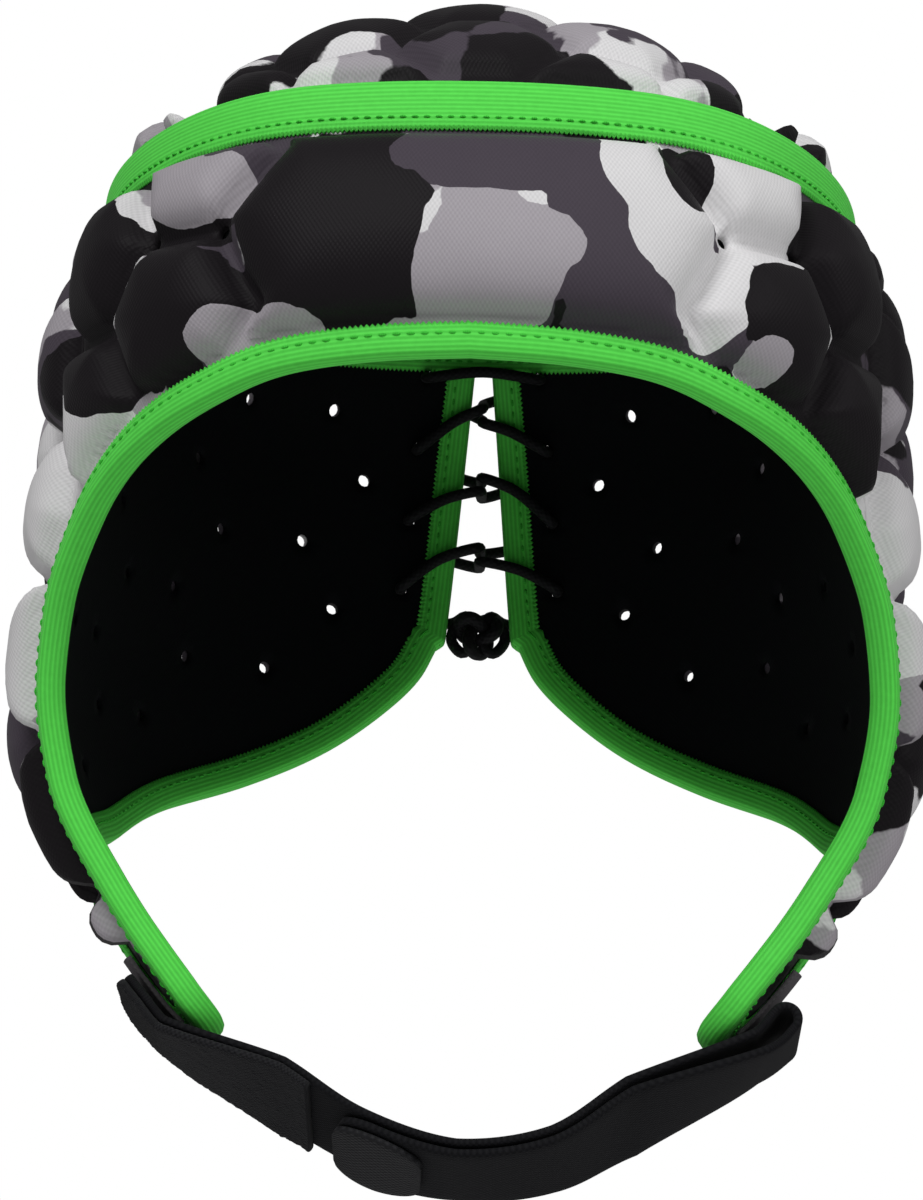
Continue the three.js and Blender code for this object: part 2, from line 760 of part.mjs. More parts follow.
// A tape folded over an edge: reach inwards from the edge, then lift off the hollow
const tapeSection = (width) => [
  [width, clothLevel + tapeGap], [-layerGap, clothLevel + tapeGap + tapeWall],
  [-noseReach, clothLevel / 2], [-layerGap, -tapeGap - tapeWall],
  [width, -tapeGap], [-layerGap, -tapeGap], [-layerGap, clothLevel + tapeGap],
];
function tapeAlong(line, width, closed, side) {
  const count = line.length;
  const stations = line.map((p, i) => {
    const before = line[Math.max(0, i - 1)];
    const after = line[Math.min(count - 1, i + 1)];
    const a = sub(p, before);
    const b = sub(after, p);
    const ua = length(a) > 0 ? [a[0] / length(a), a[1] / length(a)] : [0, 0];
    const ub = length(b) > 0 ? [b[0] / length(b), b[1] / length(b)] : [0, 0];
    const run = [ua[0] + ub[0], ua[1] + ub[1]];
    const size = length(run);
    const stretch = length(a) > 0 && length(b) > 0 ? 2 / size : 1;
    const inward = [-run[1] / size * side * stretch, run[0] / size * side * stretch];
    return ([reach, lift]) => lifted(
      ringSheet, p[0] + inward[0] * reach, p[1] + inward[1] * reach, lift,
    );
  });
  const isTurned = (k) => (line[k][0] < 0) === (side > 0);
  return facingOut(sweep(stations, tapeSection(width), closed, isTurned));
}

// The face tape runs from the rear of one tab's end over the brow to the other
const tabLast = tabLine[tabLine.length - 1];
const jointReach = 2.5;
const tapeJoint = (more) => (
  mix(tabLast, rearLine[0], (jointReach + more) / length(sub(rearLine[0], tabLast)))
);
const halfFaceTape = [...browLine, ...cheekLine.slice(1), ...tabLine, tapeJoint(0)];
const faceTapeLine = [...mirrorLine(halfFaceTape).slice(0, -1), ...halfFaceTape];
const halfTopLine = [...sideTop.slice(0, -1)].reverse();
const topTapeLine = [...mirrorLine(halfTopLine), ...[...frontTop].reverse(), ...halfTopLine];
const rearTapeLine = [tapeJoint(layerGap), ...rearLine.slice(0, -1), ...laceLine.slice(0, -1)];

// Boolean helpers
function toSolid({ places, faces }) {
  return new wasm.Manifold(new wasm.Mesh({
    numProp: 3,
    vertProperties: new Float32Array(places),
    triVerts: new Uint32Array(faces),
  }));
}
function fromSolid(solid) {
  const mesh = solid.getMesh();
  return { places: Array.from(mesh.vertProperties), faces: Array.from(mesh.triVerts) };
}
// A prism through all layers at a place of the ring
function ventPrism(u, v, radius, sides) {
  const outer = lifted(ringSheet, u, v, clothLevel + tapeWidth);
  const inner = lifted(ringSheet, u, v, -clothLevel);
  const axis = outer.clone().sub(inner).normalize();
  const helper = Math.abs(axis.z) < 0.9 ? new THREE.Vector3(0, 0, 1) : new THREE.Vector3(1, 0, 0);
  const across = helper.clone().cross(axis).normalize();
  const upward = axis.clone().cross(across);
  const section = Array.from({ length: sides }, (_, i) => {
    const angle = 2 * Math.PI * (i + 0.5) / sides;
    return [radius * Math.cos(angle), radius * Math.sin(angle)];
  });
  const stations = [inner, outer].map((centre) => ([x, y]) => (
    centre.clone().addScaledVector(across, x).addScaledVector(upward, y)
  ));
  return facingOut(sweep(stations, section, false));
}
function cutAll(shell, cutters) {
  const cut = cutters.reduce((solid, cutter) => solid.subtract(toSolid(cutter)), toSolid(shell));
  return fromSolid(cut);
}

// Lace holes in pairs beside the back opening, and the ear holes
const laceRows = { columns: ['down'], rows: [[0.205], [0.272], [0.341], [0.408]] };
const laceLevels = laceRows.rows.map(([down]) => -down * wearDepth);
const laceReach = (v) => laceEdge(v)[0] - laceInset;
const sideCutters = laceLevels.map((v) => ventPrism(laceReach(v), v, laceHoleRadius, 4));
sideCutters.push(ventPrism(earReach, -earDrop, earHoleRadius, 8));

// The lace crosses inside at the top, then each half runs through a hole to the outside, down to
// the gap, through it and down to the next hole of the other side. Both ends meet in the knot.
const laceInsideLift = -tapeGap - tapeWall - laceDiameter / 2 - layerGap;
const laceOutsideLift = clothLevel + tapeGap + tapeWall + laceDiameter / 2 + layerGap;
function laceHalf(start) {
  const points = [];
  const put = (side, v, reach, lift) => {
    points.push(lifted(ringSheet, side * (halfGirth - reach), v, lift));
  };
  let side = start;
  const holeReach = (v) => halfGirth - laceReach(v);
  laceLevels.forEach((v, i) => {
    const down = i + 1 < laceLevels.length ? laceLevels[i + 1] : laceLow + 2;
    put(side, v, holeReach(v), laceInsideLift * 0.9);
    put(side, v, holeReach(v), clothLevel / 2);
    put(side, v, holeReach(v), laceOutsideLift * 0.95);
    if (i + 1 < laceLevels.length) {
      const crossing = v + (down - v) * 0.5 + start * laceDiameter * 0.62;
      const nearGap = laceGap(crossing) + laceDiameter;
      put(side, mix([v, 0], [crossing, 0], 0.7)[0], nearGap + 1.5, laceOutsideLift + 0.2);
      put(side, crossing, 0.4, laceOutsideLift);
      put(side, crossing, 0.02, (laceOutsideLift + laceInsideLift) / 2);
      side = -side;
      put(side, crossing, 0.4, laceInsideLift);
      put(side, mix([crossing, 0], [down, 0], 0.3)[0], nearGap + 1.5, laceInsideLift - 0.2);
    }
  });
  return { points, side };
}
const laceOne = laceHalf(1);
const laceTwo = laceHalf(-1);
const knotDrop = laceLow + 3.5;
const knotLift = clothLevel / 2;
const knotCentre = lifted(ringSheet, halfGirth - 0.01, knotDrop, knotLift);
function laceTail(side) {
  const v = laceLevels[laceLevels.length - 1];
  const reach = laceGap(v) + 4;
  return [
    lifted(ringSheet, side * (halfGirth - reach - 2), v - 6, laceOutsideLift),
    lifted(ringSheet, side * (halfGirth - knotSize * 0.45), (v + knotDrop) / 2 - 1, laceOutsideLift),
    knotCentre.clone().add(new THREE.Vector3(side * knotSize * 0.3, 1, knotSize / 2 + laceDiameter)),
  ];
}
const laceRoute = [
  ...laceTail(laceTwo.side).reverse(), ...laceTwo.points.reverse(),
  lifted(ringSheet, halfGirth - 0.02, laceLevels[0] + 1.5, laceInsideLift - 0.5),
  ...laceOne.points, ...laceTail(laceOne.side),
];
const laceCurve = new THREE.CatmullRomCurve3(laceRoute, false, 'centripetal');
const laceSides = 5;
const laceSpans = 62;
function cordAlong(curve, spans, radius, sides) {
  const frames = curve.computeFrenetFrames(spans, false);
  const section = Array.from({ length: sides }, (_, i) => {
    const angle = 2 * Math.PI * i / sides;
    return [radius * Math.cos(angle), radius * Math.sin(angle)];
  });
  const stations = frames.tangents.map((_, i) => {
    const centre = curve.getPointAt(i / spans);
    return ([x, y]) => centre.clone()
      .addScaledVector(frames.normals[i], x).addScaledVector(frames.binormals[i], y);
  });
  return facingOut(sweep(stations, section, false));
}
function knotBall() {
  const ball = new THREE.IcosahedronGeometry(knotSize / 2, 1);
  ball.deleteAttribute('normal');
  ball.deleteAttribute('uv');
  const merged = mergeVertices(ball, 1e-4);
  const places = Array.from(merged.attributes.position.array);
  for (let i = 0; i < places.length; i += 3) {
    const lump = 1 + 0.06 * Math.sin(3 * places[i]) * Math.cos(2 * places[i + 2]);
    places[i] = places[i] * lump + knotCentre.x;
    places[i + 1] = places[i + 1] * lump * 0.8 + knotCentre.y;
    places[i + 2] = places[i + 2] * lump + knotCentre.z;
  }
  return facingOut({ places, faces: Array.from(merged.index.array) });
}

// Cheek tab axis and the grey tape on each tab's outer face
const tabAxis = {
  columns: ['around', 'down'],
  rows: [[0.408, 0.797], [0.402, 0.815], [0.395, 0.833], [0.388, 0.85]],
};
function tapeOnTab(width, wall, lift) {
  const line = tabAxis.rows.map(place);
  const stations = line.map(([u, v]) => ([across, thick]) => (
    lifted(ringSheet, u + across, v, lift + thick)
  ));
  const section = [
    [-width / 2, 0], [0, 0], [width / 2, 0], [width / 2, wall], [0, wall], [-width / 2, wall],
  ];
  return facingOut(sweep(stations, section, false));
}
const tabTapeLift = clothLevel + tapeGap + tapeWall + layerGap;
const tabTape = tapeOnTab(tabTapeWidth, tabTapeWall, tabTapeLift);

// Chin strap: one ribbon from the right tab, under the chin, to the left tab, where it folds
// back over itself. Free rows hold places as shares of the head's sizes and the front edge's rise.
const strapClear = 1.5;
const strapLift = tabTapeLift + tabTapeWall + strapClear + strapWall / 2;
const strapFree = {
  columns: ['out', 'fore', 'down', 'rise'],
  rows: [
    [-0.43, 0.32, 0.922, 30], [-0.23, 0.37, 0.96, 24], [0.0, 0.385, 0.98, 19],
    [0.23, 0.375, 0.97, 22], [0.42, 0.33, 0.932, 30],
  ],
};
function onTab(side, row) {
  const rows = tabAxis.rows.map(place);
  const [u, v] = rows[row];
  const centre = lifted(ringSheet, side * u, v, strapLift);
  const normal = centre.clone().sub(lifted(ringSheet, side * u, v, 0)).normalize();
  const [a, b] = [Math.max(0, row - 1), Math.min(rows.length - 1, row + 1)].map((k) => (
    lifted(ringSheet, side * rows[k][0], rows[k][1], strapLift)
  ));
  const edge = normal.clone().cross(b.clone().sub(a).normalize()).normalize();
  return { at: centre, edge: edge.y > 0 ? edge.negate() : edge, normal };
}
const freeRows = strapFree.rows.map(([out, fore, down, rise]) => {
  const angle = THREE.MathUtils.degToRad(rise);
  return {
    at: new THREE.Vector3(out * headBreadth / 2, -fore * headFront, -down * wearDepth),
    edge: new THREE.Vector3(0, -Math.cos(angle), Math.sin(angle)),
    normal: new THREE.Vector3(0, -Math.sin(angle), -Math.cos(angle)),
  };
});
const strapStops = [
  onTab(-1, 1), onTab(-1, 2), onTab(-1, 3), ...freeRows, onTab(1, 3), onTab(1, 2),
];
const strapCurve = new THREE.CatmullRomCurve3(strapStops.map(({ at }) => at), false, 'centripetal');
const strapSpans = 24;
function strapFrame(t) {
  const centre = strapCurve.getPoint(t);
  const tangent = strapCurve.getTangent(t);
  const k = clamp(t, 0, 1) * (strapStops.length - 1);
  const low = Math.min(strapStops.length - 2, Math.floor(k));
  const edge = strapStops[low].edge.clone().lerp(strapStops[low + 1].edge, k - low);
  const outward = strapStops[low].normal.clone().lerp(strapStops[low + 1].normal, k - low);
  edge.addScaledVector(tangent, -edge.dot(tangent)).normalize();
  const normal = edge.clone().cross(tangent).normalize();
  if (normal.dot(outward) < 0) normal.negate();
  return { centre, tangent, edge, normal };
}
const ribbonSection = (width, wall) => [
  [-width / 2, -wall / 2], [width / 2, -wall / 2], [width / 2, wall / 2], [-width / 2, wall / 2],
];
// A station of a ribbon over the strap's run, raised off it and narrowed towards a rounded end
const overStrap = (t, raise, share) => {
  const { centre, edge, normal } = strapFrame(t);
  return ([across, thick]) => centre.clone()
    .addScaledVector(edge, across * share).addScaledVector(normal, raise + thick);
};
const roundEnd = [0.42, 0.78, 1];
const endShare = (i, count) => {
  const near = Math.min(i, count - i);
  return near < roundEnd.length ? roundEnd[near] : 1;
};
const foldAt = strapFrame(1);
const returnEnd = 0.42;
const returnSpans = 18;
const liftOfReturn = (t) => strapWall + 0.5 + (strapFold - strapWall - 0.5) * smooth(0.72, 0.98, t);
const strapStations = [];
for (let i = 0; i <= strapSpans; i += 1) {
  strapStations.push(overStrap(i / strapSpans, 0, i < roundEnd.length ? roundEnd[i] : 1));
}
const foldSteps = 4;
for (let i = 1; i < foldSteps; i += 1) {
  const angle = Math.PI * i / foldSteps;
  const raise = strapFold / 2 * (1 - Math.cos(angle));
  const reach = strapFold / 2 * Math.sin(angle);
  strapStations.push(([across, thick]) => foldAt.centre.clone()
    .addScaledVector(foldAt.edge, across)
    .addScaledVector(foldAt.normal, raise + thick * Math.cos(angle))
    .addScaledVector(foldAt.tangent, reach - thick * Math.sin(angle)));
}
for (let i = 0; i <= returnSpans; i += 1) {
  const t = 1 - (1 - returnEnd) * i / returnSpans;
  const station = overStrap(t, liftOfReturn(t), endShare(Math.max(3, i), returnSpans));
  strapStations.push(([across, thick]) => station([across, -thick]));
}
const chinStrap = facingOut(sweep(strapStations, ribbonSection(strapWidth, strapWall), false));

// The fuzzy patch over the strap's first end, and the rounded grip on the returning end
const patchSpans = 9;
const patchEnd = patchSpans / strapSpans;
const patchRaise = strapWall / 2 + layerGap + patchWall / 2;
const patchStations = Array.from({ length: patchSpans + 1 }, (_, i) => (
  overStrap(patchEnd * i / patchSpans, patchRaise, i < roundEnd.length ? roundEnd[i] : 1)
));
const strapPatch = facingOut(
  sweep(patchStations, ribbonSection(strapWidth + 1, patchWall), false, () => true),
);
const gripSpans = 6;
const gripLength = 0.1;
const gripStations = Array.from({ length: gripSpans + 1 }, (_, i) => {
  const t = returnEnd + gripLength * i / gripSpans;
  return overStrap(t, liftOfReturn(t) + patchRaise, endShare(i, gripSpans));
});
const strapGrip = facingOut(
  sweep(gripStations, ribbonSection(strapWidth - 1, patchWall), false, () => true),
);

const group = new THREE.Group();
function add(name, { places, faces }, color, roughness) {
  const geometry = new THREE.BufferGeometry();
  geometry.setAttribute('position', new THREE.Float32BufferAttribute(places, 3));
  geometry.setIndex(faces);
  geometry.computeVertexNormals();
  const material = new THREE.MeshStandardMaterial({ color, roughness, metalness: 0 });
  const mesh = new THREE.Mesh(geometry, material);
  mesh.name = name;
  group.add(mesh);
}

const camo = 0x8b8790;
const black = 0x0c0d10;
const green = 0x3fe03f;
const grey = 0x57505a;

const frontPanel = layer(ringSheet, frontPlan, panelInside, clothLevel, padRise);
const frontLining = layer(ringSheet, frontPlan, 0, liningWall, 0);
const sidePanel = cutAll(layer(ringSheet, sidePlan, panelInside, clothLevel, padRise), sideCutters);
const sideLining = cutAll(layer(ringSheet, sidePlan, 0, liningWall, 0), sideCutters);
add('front_panel', frontPanel, camo, 0.75);
add('front_lining', frontLining, black, 0.9);
add('side_panel_left', sidePanel, camo, 0.75);
add('side_panel_right', mirrored(sidePanel), camo, 0.75);
add('side_lining_left', sideLining, black, 0.9);
add('side_lining_right', mirrored(sideLining), black, 0.9);

const crownPanel = layer(crownSheet, crownPlan, 0, clothLevel, padRise);
const crownSide = layer(crownSheet, crownSidePlan, 0, clothLevel, padRise);
add('crown_panel', crownPanel, camo, 0.75);
add('crown_side_left', crownSide, camo, 0.75);
add('crown_side_right', mirrored(crownSide), camo, 0.75);

add('face_binding', tapeAlong(faceTapeLine, tapeWidth, false, 1), green, 0.7);
add('top_binding', tapeAlong(topTapeLine, topTapeWidth, true, -1), green, 0.7);
const rearBinding = tapeAlong(rearTapeLine, tapeWidth, false, 1);
add('nape_binding_left', rearBinding, green, 0.7);
add('nape_binding_right', mirrored(rearBinding), green, 0.7);

add('back_lace', cordAlong(laceCurve, laceSpans, laceDiameter / 2, laceSides), black, 0.8);
add('lace_knot', knotBall(), black, 0.8);
add('tab_tape_left', tabTape, grey, 0.8);
add('tab_tape_right', mirrored(tabTape), grey, 0.8);
add('chin_strap', chinStrap, black, 0.85);
add('strap_patch', strapPatch, black, 0.95);
add('strap_grip', strapGrip, 0x2a2a2c, 0.8);

export default group;
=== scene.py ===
"""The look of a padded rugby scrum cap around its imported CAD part.
Sizes are in millimetres until a mesh is made; +Z is up and the face opening looks along -Y."""

import math

import bpy
import numpy as np
from mathutils import Matrix, Vector, noise
from mathutils.geometry import delaunay_2d_cdt


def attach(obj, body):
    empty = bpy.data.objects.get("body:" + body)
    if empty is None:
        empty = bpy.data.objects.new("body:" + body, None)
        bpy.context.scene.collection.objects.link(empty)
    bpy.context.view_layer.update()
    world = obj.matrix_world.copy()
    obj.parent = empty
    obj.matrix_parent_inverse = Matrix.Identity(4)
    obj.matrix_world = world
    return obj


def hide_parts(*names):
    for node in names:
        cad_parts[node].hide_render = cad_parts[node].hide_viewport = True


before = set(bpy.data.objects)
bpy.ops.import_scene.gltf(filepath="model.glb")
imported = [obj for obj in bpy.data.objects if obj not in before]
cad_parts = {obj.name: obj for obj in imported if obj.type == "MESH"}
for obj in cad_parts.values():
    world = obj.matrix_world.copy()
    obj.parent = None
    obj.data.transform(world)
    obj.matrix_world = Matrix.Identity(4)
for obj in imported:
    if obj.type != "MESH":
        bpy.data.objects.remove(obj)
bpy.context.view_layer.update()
scene = bpy.context.scene
MM = 0.001
HANDS = ((1, "left"), (-1, "right"))

# Head hollow, layers and pads, as in the CAD part
HEAD_BREADTH = 164.0
HEAD_FRONT = 98.0
HEAD_BACK = 100.0
CROWN_DROP = 75.0
WEAR_DEPTH = 243.0
PLAN_POWER = 2.4
LINING_WALL = 1.0
CLOTH_LEVEL = 3.0
PAD_RISE = 7.2
SHOULDER = 11.5
CHANNEL = 1.4
PAD_DOME = 0.6
LEAST_PAD_REACH = 3.0
PAD_PITCH = 30.6
FIRST_PAD_DROP = 74.0
BACK_LEAN = 0.2
VENT_MARGIN = 5.0
VENT_RADIUS = 1.5
TAPE_WIDTH = 5.7
TAPE_WALL = 0.9
TAPE_GAP = 0.5
TOP_TAPE_WIDTH = 10.5
TAPE_CLEAR = 0.6
LAYER_GAP = 0.3
NOSE_REACH = TAPE_WALL + LAYER_GAP
RING_TOP_FRONT = 28.0
RING_TOP_BACK = 38.0
STAND_PROUD = 6.0
STAND_DEPTH = 17.0
FRONT_PANEL_HALF = 97.0
SEAM_LEAN = 14.0
SEAM_MARGIN = 2.2
CROWN_SEAM = 57.0
CROWN_START = -1.5
CROWN_TUCK = 3.8
LACE_MARGIN = 13.0
LACE_GAP_TOP = 1.0
LACE_GAP_LOW = 7.2
EAR_REACH = 147.0
EAR_DROP = 119.0
EAR_HOLE_RADIUS = 8.0
LACE_DIAMETER = 2.6
LACE_INSET = 10.6
LACE_HOLE_RADIUS = 1.4
BARE_TAB_DROP = 0.793 * WEAR_DEPTH


def smooth(low, high, value):
    t = np.clip((value - low) / (high - low), 0, 1)
    return t * t * (3 - 2 * t)


def reader(x, y):
    """A smooth curve through a table that never overshoots."""
    x = np.array(x, float)
    y = np.array(y, float)
    rise = np.diff(y) / np.diff(x)
    slope = np.empty(len(x))
    slope[0] = rise[0]
    slope[-1] = rise[-1]
    a = rise[:-1]
    b = rise[1:]
    total = np.where(a + b == 0, 1, a + b)
    slope[1:-1] = np.where(a * b <= 0, 0, 2 * a * b / total)

    def read(at):
        at = np.clip(at, x[0], x[-1])
        k = np.clip(np.searchsorted(x, at) - 1, 0, len(x) - 2)
        width = x[k + 1] - x[k]
        t = (at - x[k]) / width
        near = y[k] * (2 * t**3 - 3 * t**2 + 1) + y[k + 1] * (3 * t**2 - 2 * t**3)
        bend = slope[k] * (t**3 - 2 * t**2 + t) + slope[k + 1] * (t**3 - t**2)
        return near + width * bend

    return read


# drop as a share of WEAR_DEPTH, then half breadth, front and back as shares at the crown's foot
SECTIONS = np.array([
    (0.309, 1.0, 1.0, 1.0), (0.391, 1.006, 1.0, 1.0), (0.453, 1.03, 0.99, 0.98),
    (0.518, 1.061, 0.975, 0.945), (0.576, 1.067, 0.953, 0.91), (0.658, 1.03, 0.89, 0.84),
    (0.745, 0.905, 0.83, 0.77), (0.835, 0.72, 0.76, 0.7), (0.864, 0.63, 0.73, 0.68),
    (0.905, 0.5, 0.68, 0.64),
])
BREADTH, FRONT, BACK = (reader(SECTIONS[:, 0], SECTIONS[:, i]) for i in (1, 2, 3))


def hollow(turn, z):
    """Points of the head hollow at an angle from the front and a height."""
    turn, z = np.broadcast_arrays(np.asarray(turn, float), np.asarray(z, float))
    lean = np.clip(1 + z / CROWN_DROP, 0, 1)
    dome = np.sqrt(np.maximum(0, 1 - lean * lean))
    drop = np.maximum(-z / WEAR_DEPTH, CROWN_DROP / WEAR_DEPTH)
    high = z > -CROWN_DROP
    side = HEAD_BREADTH / 2 * np.where(high, dome, BREADTH(drop))
    front = HEAD_FRONT * np.where(high, dome, FRONT(drop))
    back = HEAD_BACK * np.where(high, dome, BACK(drop))
    s = np.sin(turn)
    c = np.cos(turn)
    s = np.sign(s) * np.abs(s) ** (2 / PLAN_POWER)
    c = np.sign(c) * np.abs(c) ** (2 / PLAN_POWER)
    return np.stack([side * s, np.where(c > 0, -front * c, -back * c), z], -1)


def far_along(line):
    """The length of a line up to each of its points."""
    return np.concatenate([[0], np.cumsum(np.linalg.norm(np.diff(line, axis=0), axis=1))])


TURNS = np.linspace(0, math.pi, 721)
GIRTH = far_along(hollow(TURNS, -CROWN_DROP))
HALF_GIRTH = GIRTH[-1]


def ring_top(u):
    share = smooth(0.12 * HALF_GIRTH, 0.62 * HALF_GIRTH, np.abs(u))
    return -(RING_TOP_FRONT + (RING_TOP_BACK - RING_TOP_FRONT) * share)


def ring_sheet(u, v):
    """Points of the ring: u goes round from the front, v is the height."""
    turn = np.sign(u) * np.interp(np.abs(u), GIRTH, TURNS)
    # past the back's middle the sheet goes on round the other side
    over = np.abs(u) > HALF_GIRTH
    beyond = 2 * math.pi - np.interp(2 * HALF_GIRTH - np.abs(u), GIRTH, TURNS)
    turn = np.where(over, np.sign(u) * beyond, turn)
    point = hollow(turn, v)
    t = np.maximum(0, (v - ring_top(u)) / STAND_DEPTH + 1)
    reach = np.hypot(point[..., 0], point[..., 1])
    push = 1 + STAND_PROUD * t * t / reach
    point[..., 0] *= push
    point[..., 1] *= push
    return point


def crown_sheet(u, v):
    """Points of the crown from its top: u goes to the left, v to the front."""
    u = np.where(np.abs(u) < 1e-6, 1e-6, u)
    reach = np.hypot(u, v)
    front = np.where(v > 0, HEAD_FRONT, HEAD_BACK)
    tangent = np.abs(u) * front / np.maximum(1e-9, np.abs(v) * HEAD_BREADTH / 2)
    quarter = np.arctan(tangent ** (PLAN_POWER / 2))
    turn = np.sign(u) * np.where(v > 0, quarter, math.pi - quarter)
    side = hollow(turn, -CROWN_DROP)
    radius = np.hypot(side[..., 0], side[..., 1])
    angle = reach / np.sqrt((radius**2 + CROWN_DROP**2) / 2)
    return np.stack([
        side[..., 0] * np.sin(angle), side[..., 1] * np.sin(angle),
        -CROWN_DROP * (1 - np.cos(angle)),
    ], -1)


SLOPE_STEP = 0.05
INSIDE_DROP = 30.0


def lifted(sheet, u, v, lift):
    """Points at a distance outside a sheet."""
    u = np.asarray(u, float)
    v = np.asarray(v, float)
    step = SLOPE_STEP
    point = sheet(u, v)
    du = sheet(u + step, v) - sheet(u - step, v)
    dv = sheet(u, v + step) - sheet(u, v - step)
    normal = np.cross(du, dv)
    normal /= np.linalg.norm(normal, axis=-1, keepdims=True) + 1e-12
    inside = np.zeros_like(point)
    inside[..., 2] = np.minimum(point[..., 2] - INSIDE_DROP, -CROWN_DROP)
    out = np.sum(normal * (point - inside), -1, keepdims=True)
    normal = np.where(out < 0, -normal, normal)
    return point + normal * np.asarray(lift, float)[..., None]


def catmull(points, t):
    """A point of a centripetal Catmull-Rom curve, t from 0 to 1 over its spans."""
    points = np.asarray(points, float)
    count = len(points)
    at = min(max(t, 0), 1) * (count - 1)
    k = min(int(at), count - 2)
    w = at - k
    p1 = points[k]
    p2 = points[k + 1]
    p0 = points[k - 1] if k > 0 else 2 * points[0] - points[1]
    p3 = points[k + 2] if k + 2 < count else 2 * points[-1] - points[-2]
    spans = ((p0, p1), (p1, p2), (p2, p3))
    d0, d1, d2 = (max(math.sqrt(np.linalg.norm(b - a)), 1e-4) for a, b in spans)
    t1 = ((p1 - p0) / d0 - (p2 - p0) / (d0 + d1) + (p2 - p1) / d1) * d1
    t2 = ((p2 - p1) / d1 - (p3 - p1) / (d1 + d2) + (p3 - p2) / d2) * d1
    c2 = -3 * p1 + 3 * p2 - 2 * t1 - t2
    c3 = 2 * p1 - 2 * p2 + t1 + t2
    return p1 + w * (t1 + w * (c2 + w * c3))


def even(line, step):
    """The same line with points at even steps."""
    line = np.asarray(line, float)
    far = far_along(line)
    count = max(1, round(far[-1] / step))
    at = np.linspace(0, far[-1], count + 1)
    return np.stack([np.interp(at, far, line[:, i]) for i in range(line.shape[1])], -1)


CURVE_STEPS = 30


def curve_line(points, step):
    count = (len(points) - 1) * CURVE_STEPS
    return even([catmull(points, i / count) for i in range(count + 1)], step)


# Outlines in shares of half the girth and of WEAR_DEPTH
FACE_EDGE = [
    (0, 0.346), (0.068, 0.35), (0.129, 0.359), (0.1765, 0.3765), (0.224, 0.397), (0.265, 0.42),
    (0.3, 0.448), (0.33, 0.486), (0.355, 0.535), (0.371, 0.597), (0.373, 0.658), (0.364, 0.72),
    (0.35, 0.775), (0.34, 0.81),
]
TAB_END = [(0.338, 0.838), (0.355, 0.858), (0.385, 0.866), (0.416, 0.86), (0.438, 0.84)]
REAR_EDGE = [
    (0.446, 0.812), (0.462, 0.775), (0.49, 0.738), (0.54, 0.708), (0.6, 0.69), (0.656, 0.677),
    (0.74, 0.64), (0.83, 0.603), (0.89, 0.566), (0.932, 0.524), (0.955, 0.491), (0.966, 0.462),
]
LACE_LOW = -REAR_EDGE[-1][1] * WEAR_DEPTH
LACE_TOP = float(ring_top(HALF_GIRTH))


def placed(rows):
    return [(a * HALF_GIRTH, -d * WEAR_DEPTH) for a, d in rows]


def lace_gap(v):
    share = np.clip((v + RING_TOP_BACK) / (LACE_LOW + RING_TOP_BACK), 0, 1)
    return LACE_GAP_TOP + (LACE_GAP_LOW - LACE_GAP_TOP) * share


def lace_edge(v):
    return (HALF_GIRTH - lace_gap(v) - NOSE_REACH, v)


EDGE_STEP = 1.3
face_line = curve_line(placed(FACE_EDGE + TAB_END), EDGE_STEP)
rear_line = curve_line(placed(REAR_EDGE), EDGE_STEP)
seam_at = int(np.argmax(face_line[:, 0] > FRONT_PANEL_HALF))
seam_foot = face_line[seam_at]
seam_head = np.array([seam_foot[0] + SEAM_LEAN, ring_top(seam_foot[0] + SEAM_LEAN)])
lace_line = even([lace_edge(LACE_LOW), lace_edge(LACE_TOP)], EDGE_STEP)


def top_line(from_u, to_u):
    u = np.linspace(from_u, to_u, max(2, round(abs(to_u - from_u) / EDGE_STEP)))
    return np.stack([u, ring_top(u)], -1)


def mirror_line(line):
    return (np.asarray(line) * (-1, 1))[::-1]


def loop_of(runs):
    return np.concatenate([run[:-1] for run, _ in runs])


brow = face_line[: seam_at + 1]
seam = even([seam_foot, seam_head], EDGE_STEP)
FRONT_RUNS = [
    (np.concatenate([mirror_line(brow)[:-1], brow]), TAPE_WIDTH + TAPE_CLEAR),
    (seam, SEAM_MARGIN),
    (top_line(seam_head[0], -seam_head[0]), TOP_TAPE_WIDTH + TAPE_CLEAR),
    (mirror_line(seam), SEAM_MARGIN),
]
SIDE_RUNS = [
    (np.concatenate([face_line[seam_at:], rear_line]), TAPE_WIDTH + TAPE_CLEAR),
    (np.concatenate([rear_line[-1:], lace_line]), LACE_MARGIN),
    (top_line(lace_edge(LACE_TOP)[0], seam_head[0] + LAYER_GAP), TOP_TAPE_WIDTH + TAPE_CLEAR),
    (seam[::-1] + (LAYER_GAP, 0), SEAM_MARGIN),
]


def distance_to(points, line):
    """The distance from each point to an open line."""
    a = line[:-1]
    ab = line[1:] - a
    size = np.maximum((ab**2).sum(1), 1e-12)
    best = np.full(len(points), np.inf)
    for start in range(0, len(points), 2000):
        p = points[start:start + 2000, None, :] - a[None]
        t = np.clip((p * ab).sum(2) / size, 0, 1)
        gap = np.hypot(p[..., 0] - ab[:, 0] * t, p[..., 1] - ab[:, 1] * t)
        best[start:start + 2000] = gap.min(1)
    return best


def inside(points, loop):
    result = np.zeros(len(points), bool)
    x = points[:, 0]
    y = points[:, 1]
    for (ax, ay), (bx, by) in zip(loop, np.roll(loop, -1, 0)):
        if ay == by:
            continue
        crosses = (ay > y) != (by > y)
        result ^= crosses & (ax + (bx - ax) * (y - ay) / (by - ay) > x)
    return result


# Pad lattices
PAD_COLUMNS = [0, 0.105, 0.21, 0.304, 0.4, 0.5, 0.606, 0.716, 0.83, 0.946, 1.06]
CROWN_PITCH = 29.5
CROWN_RISE = 4.8
CROWN_SIDE_RISE = 10.5


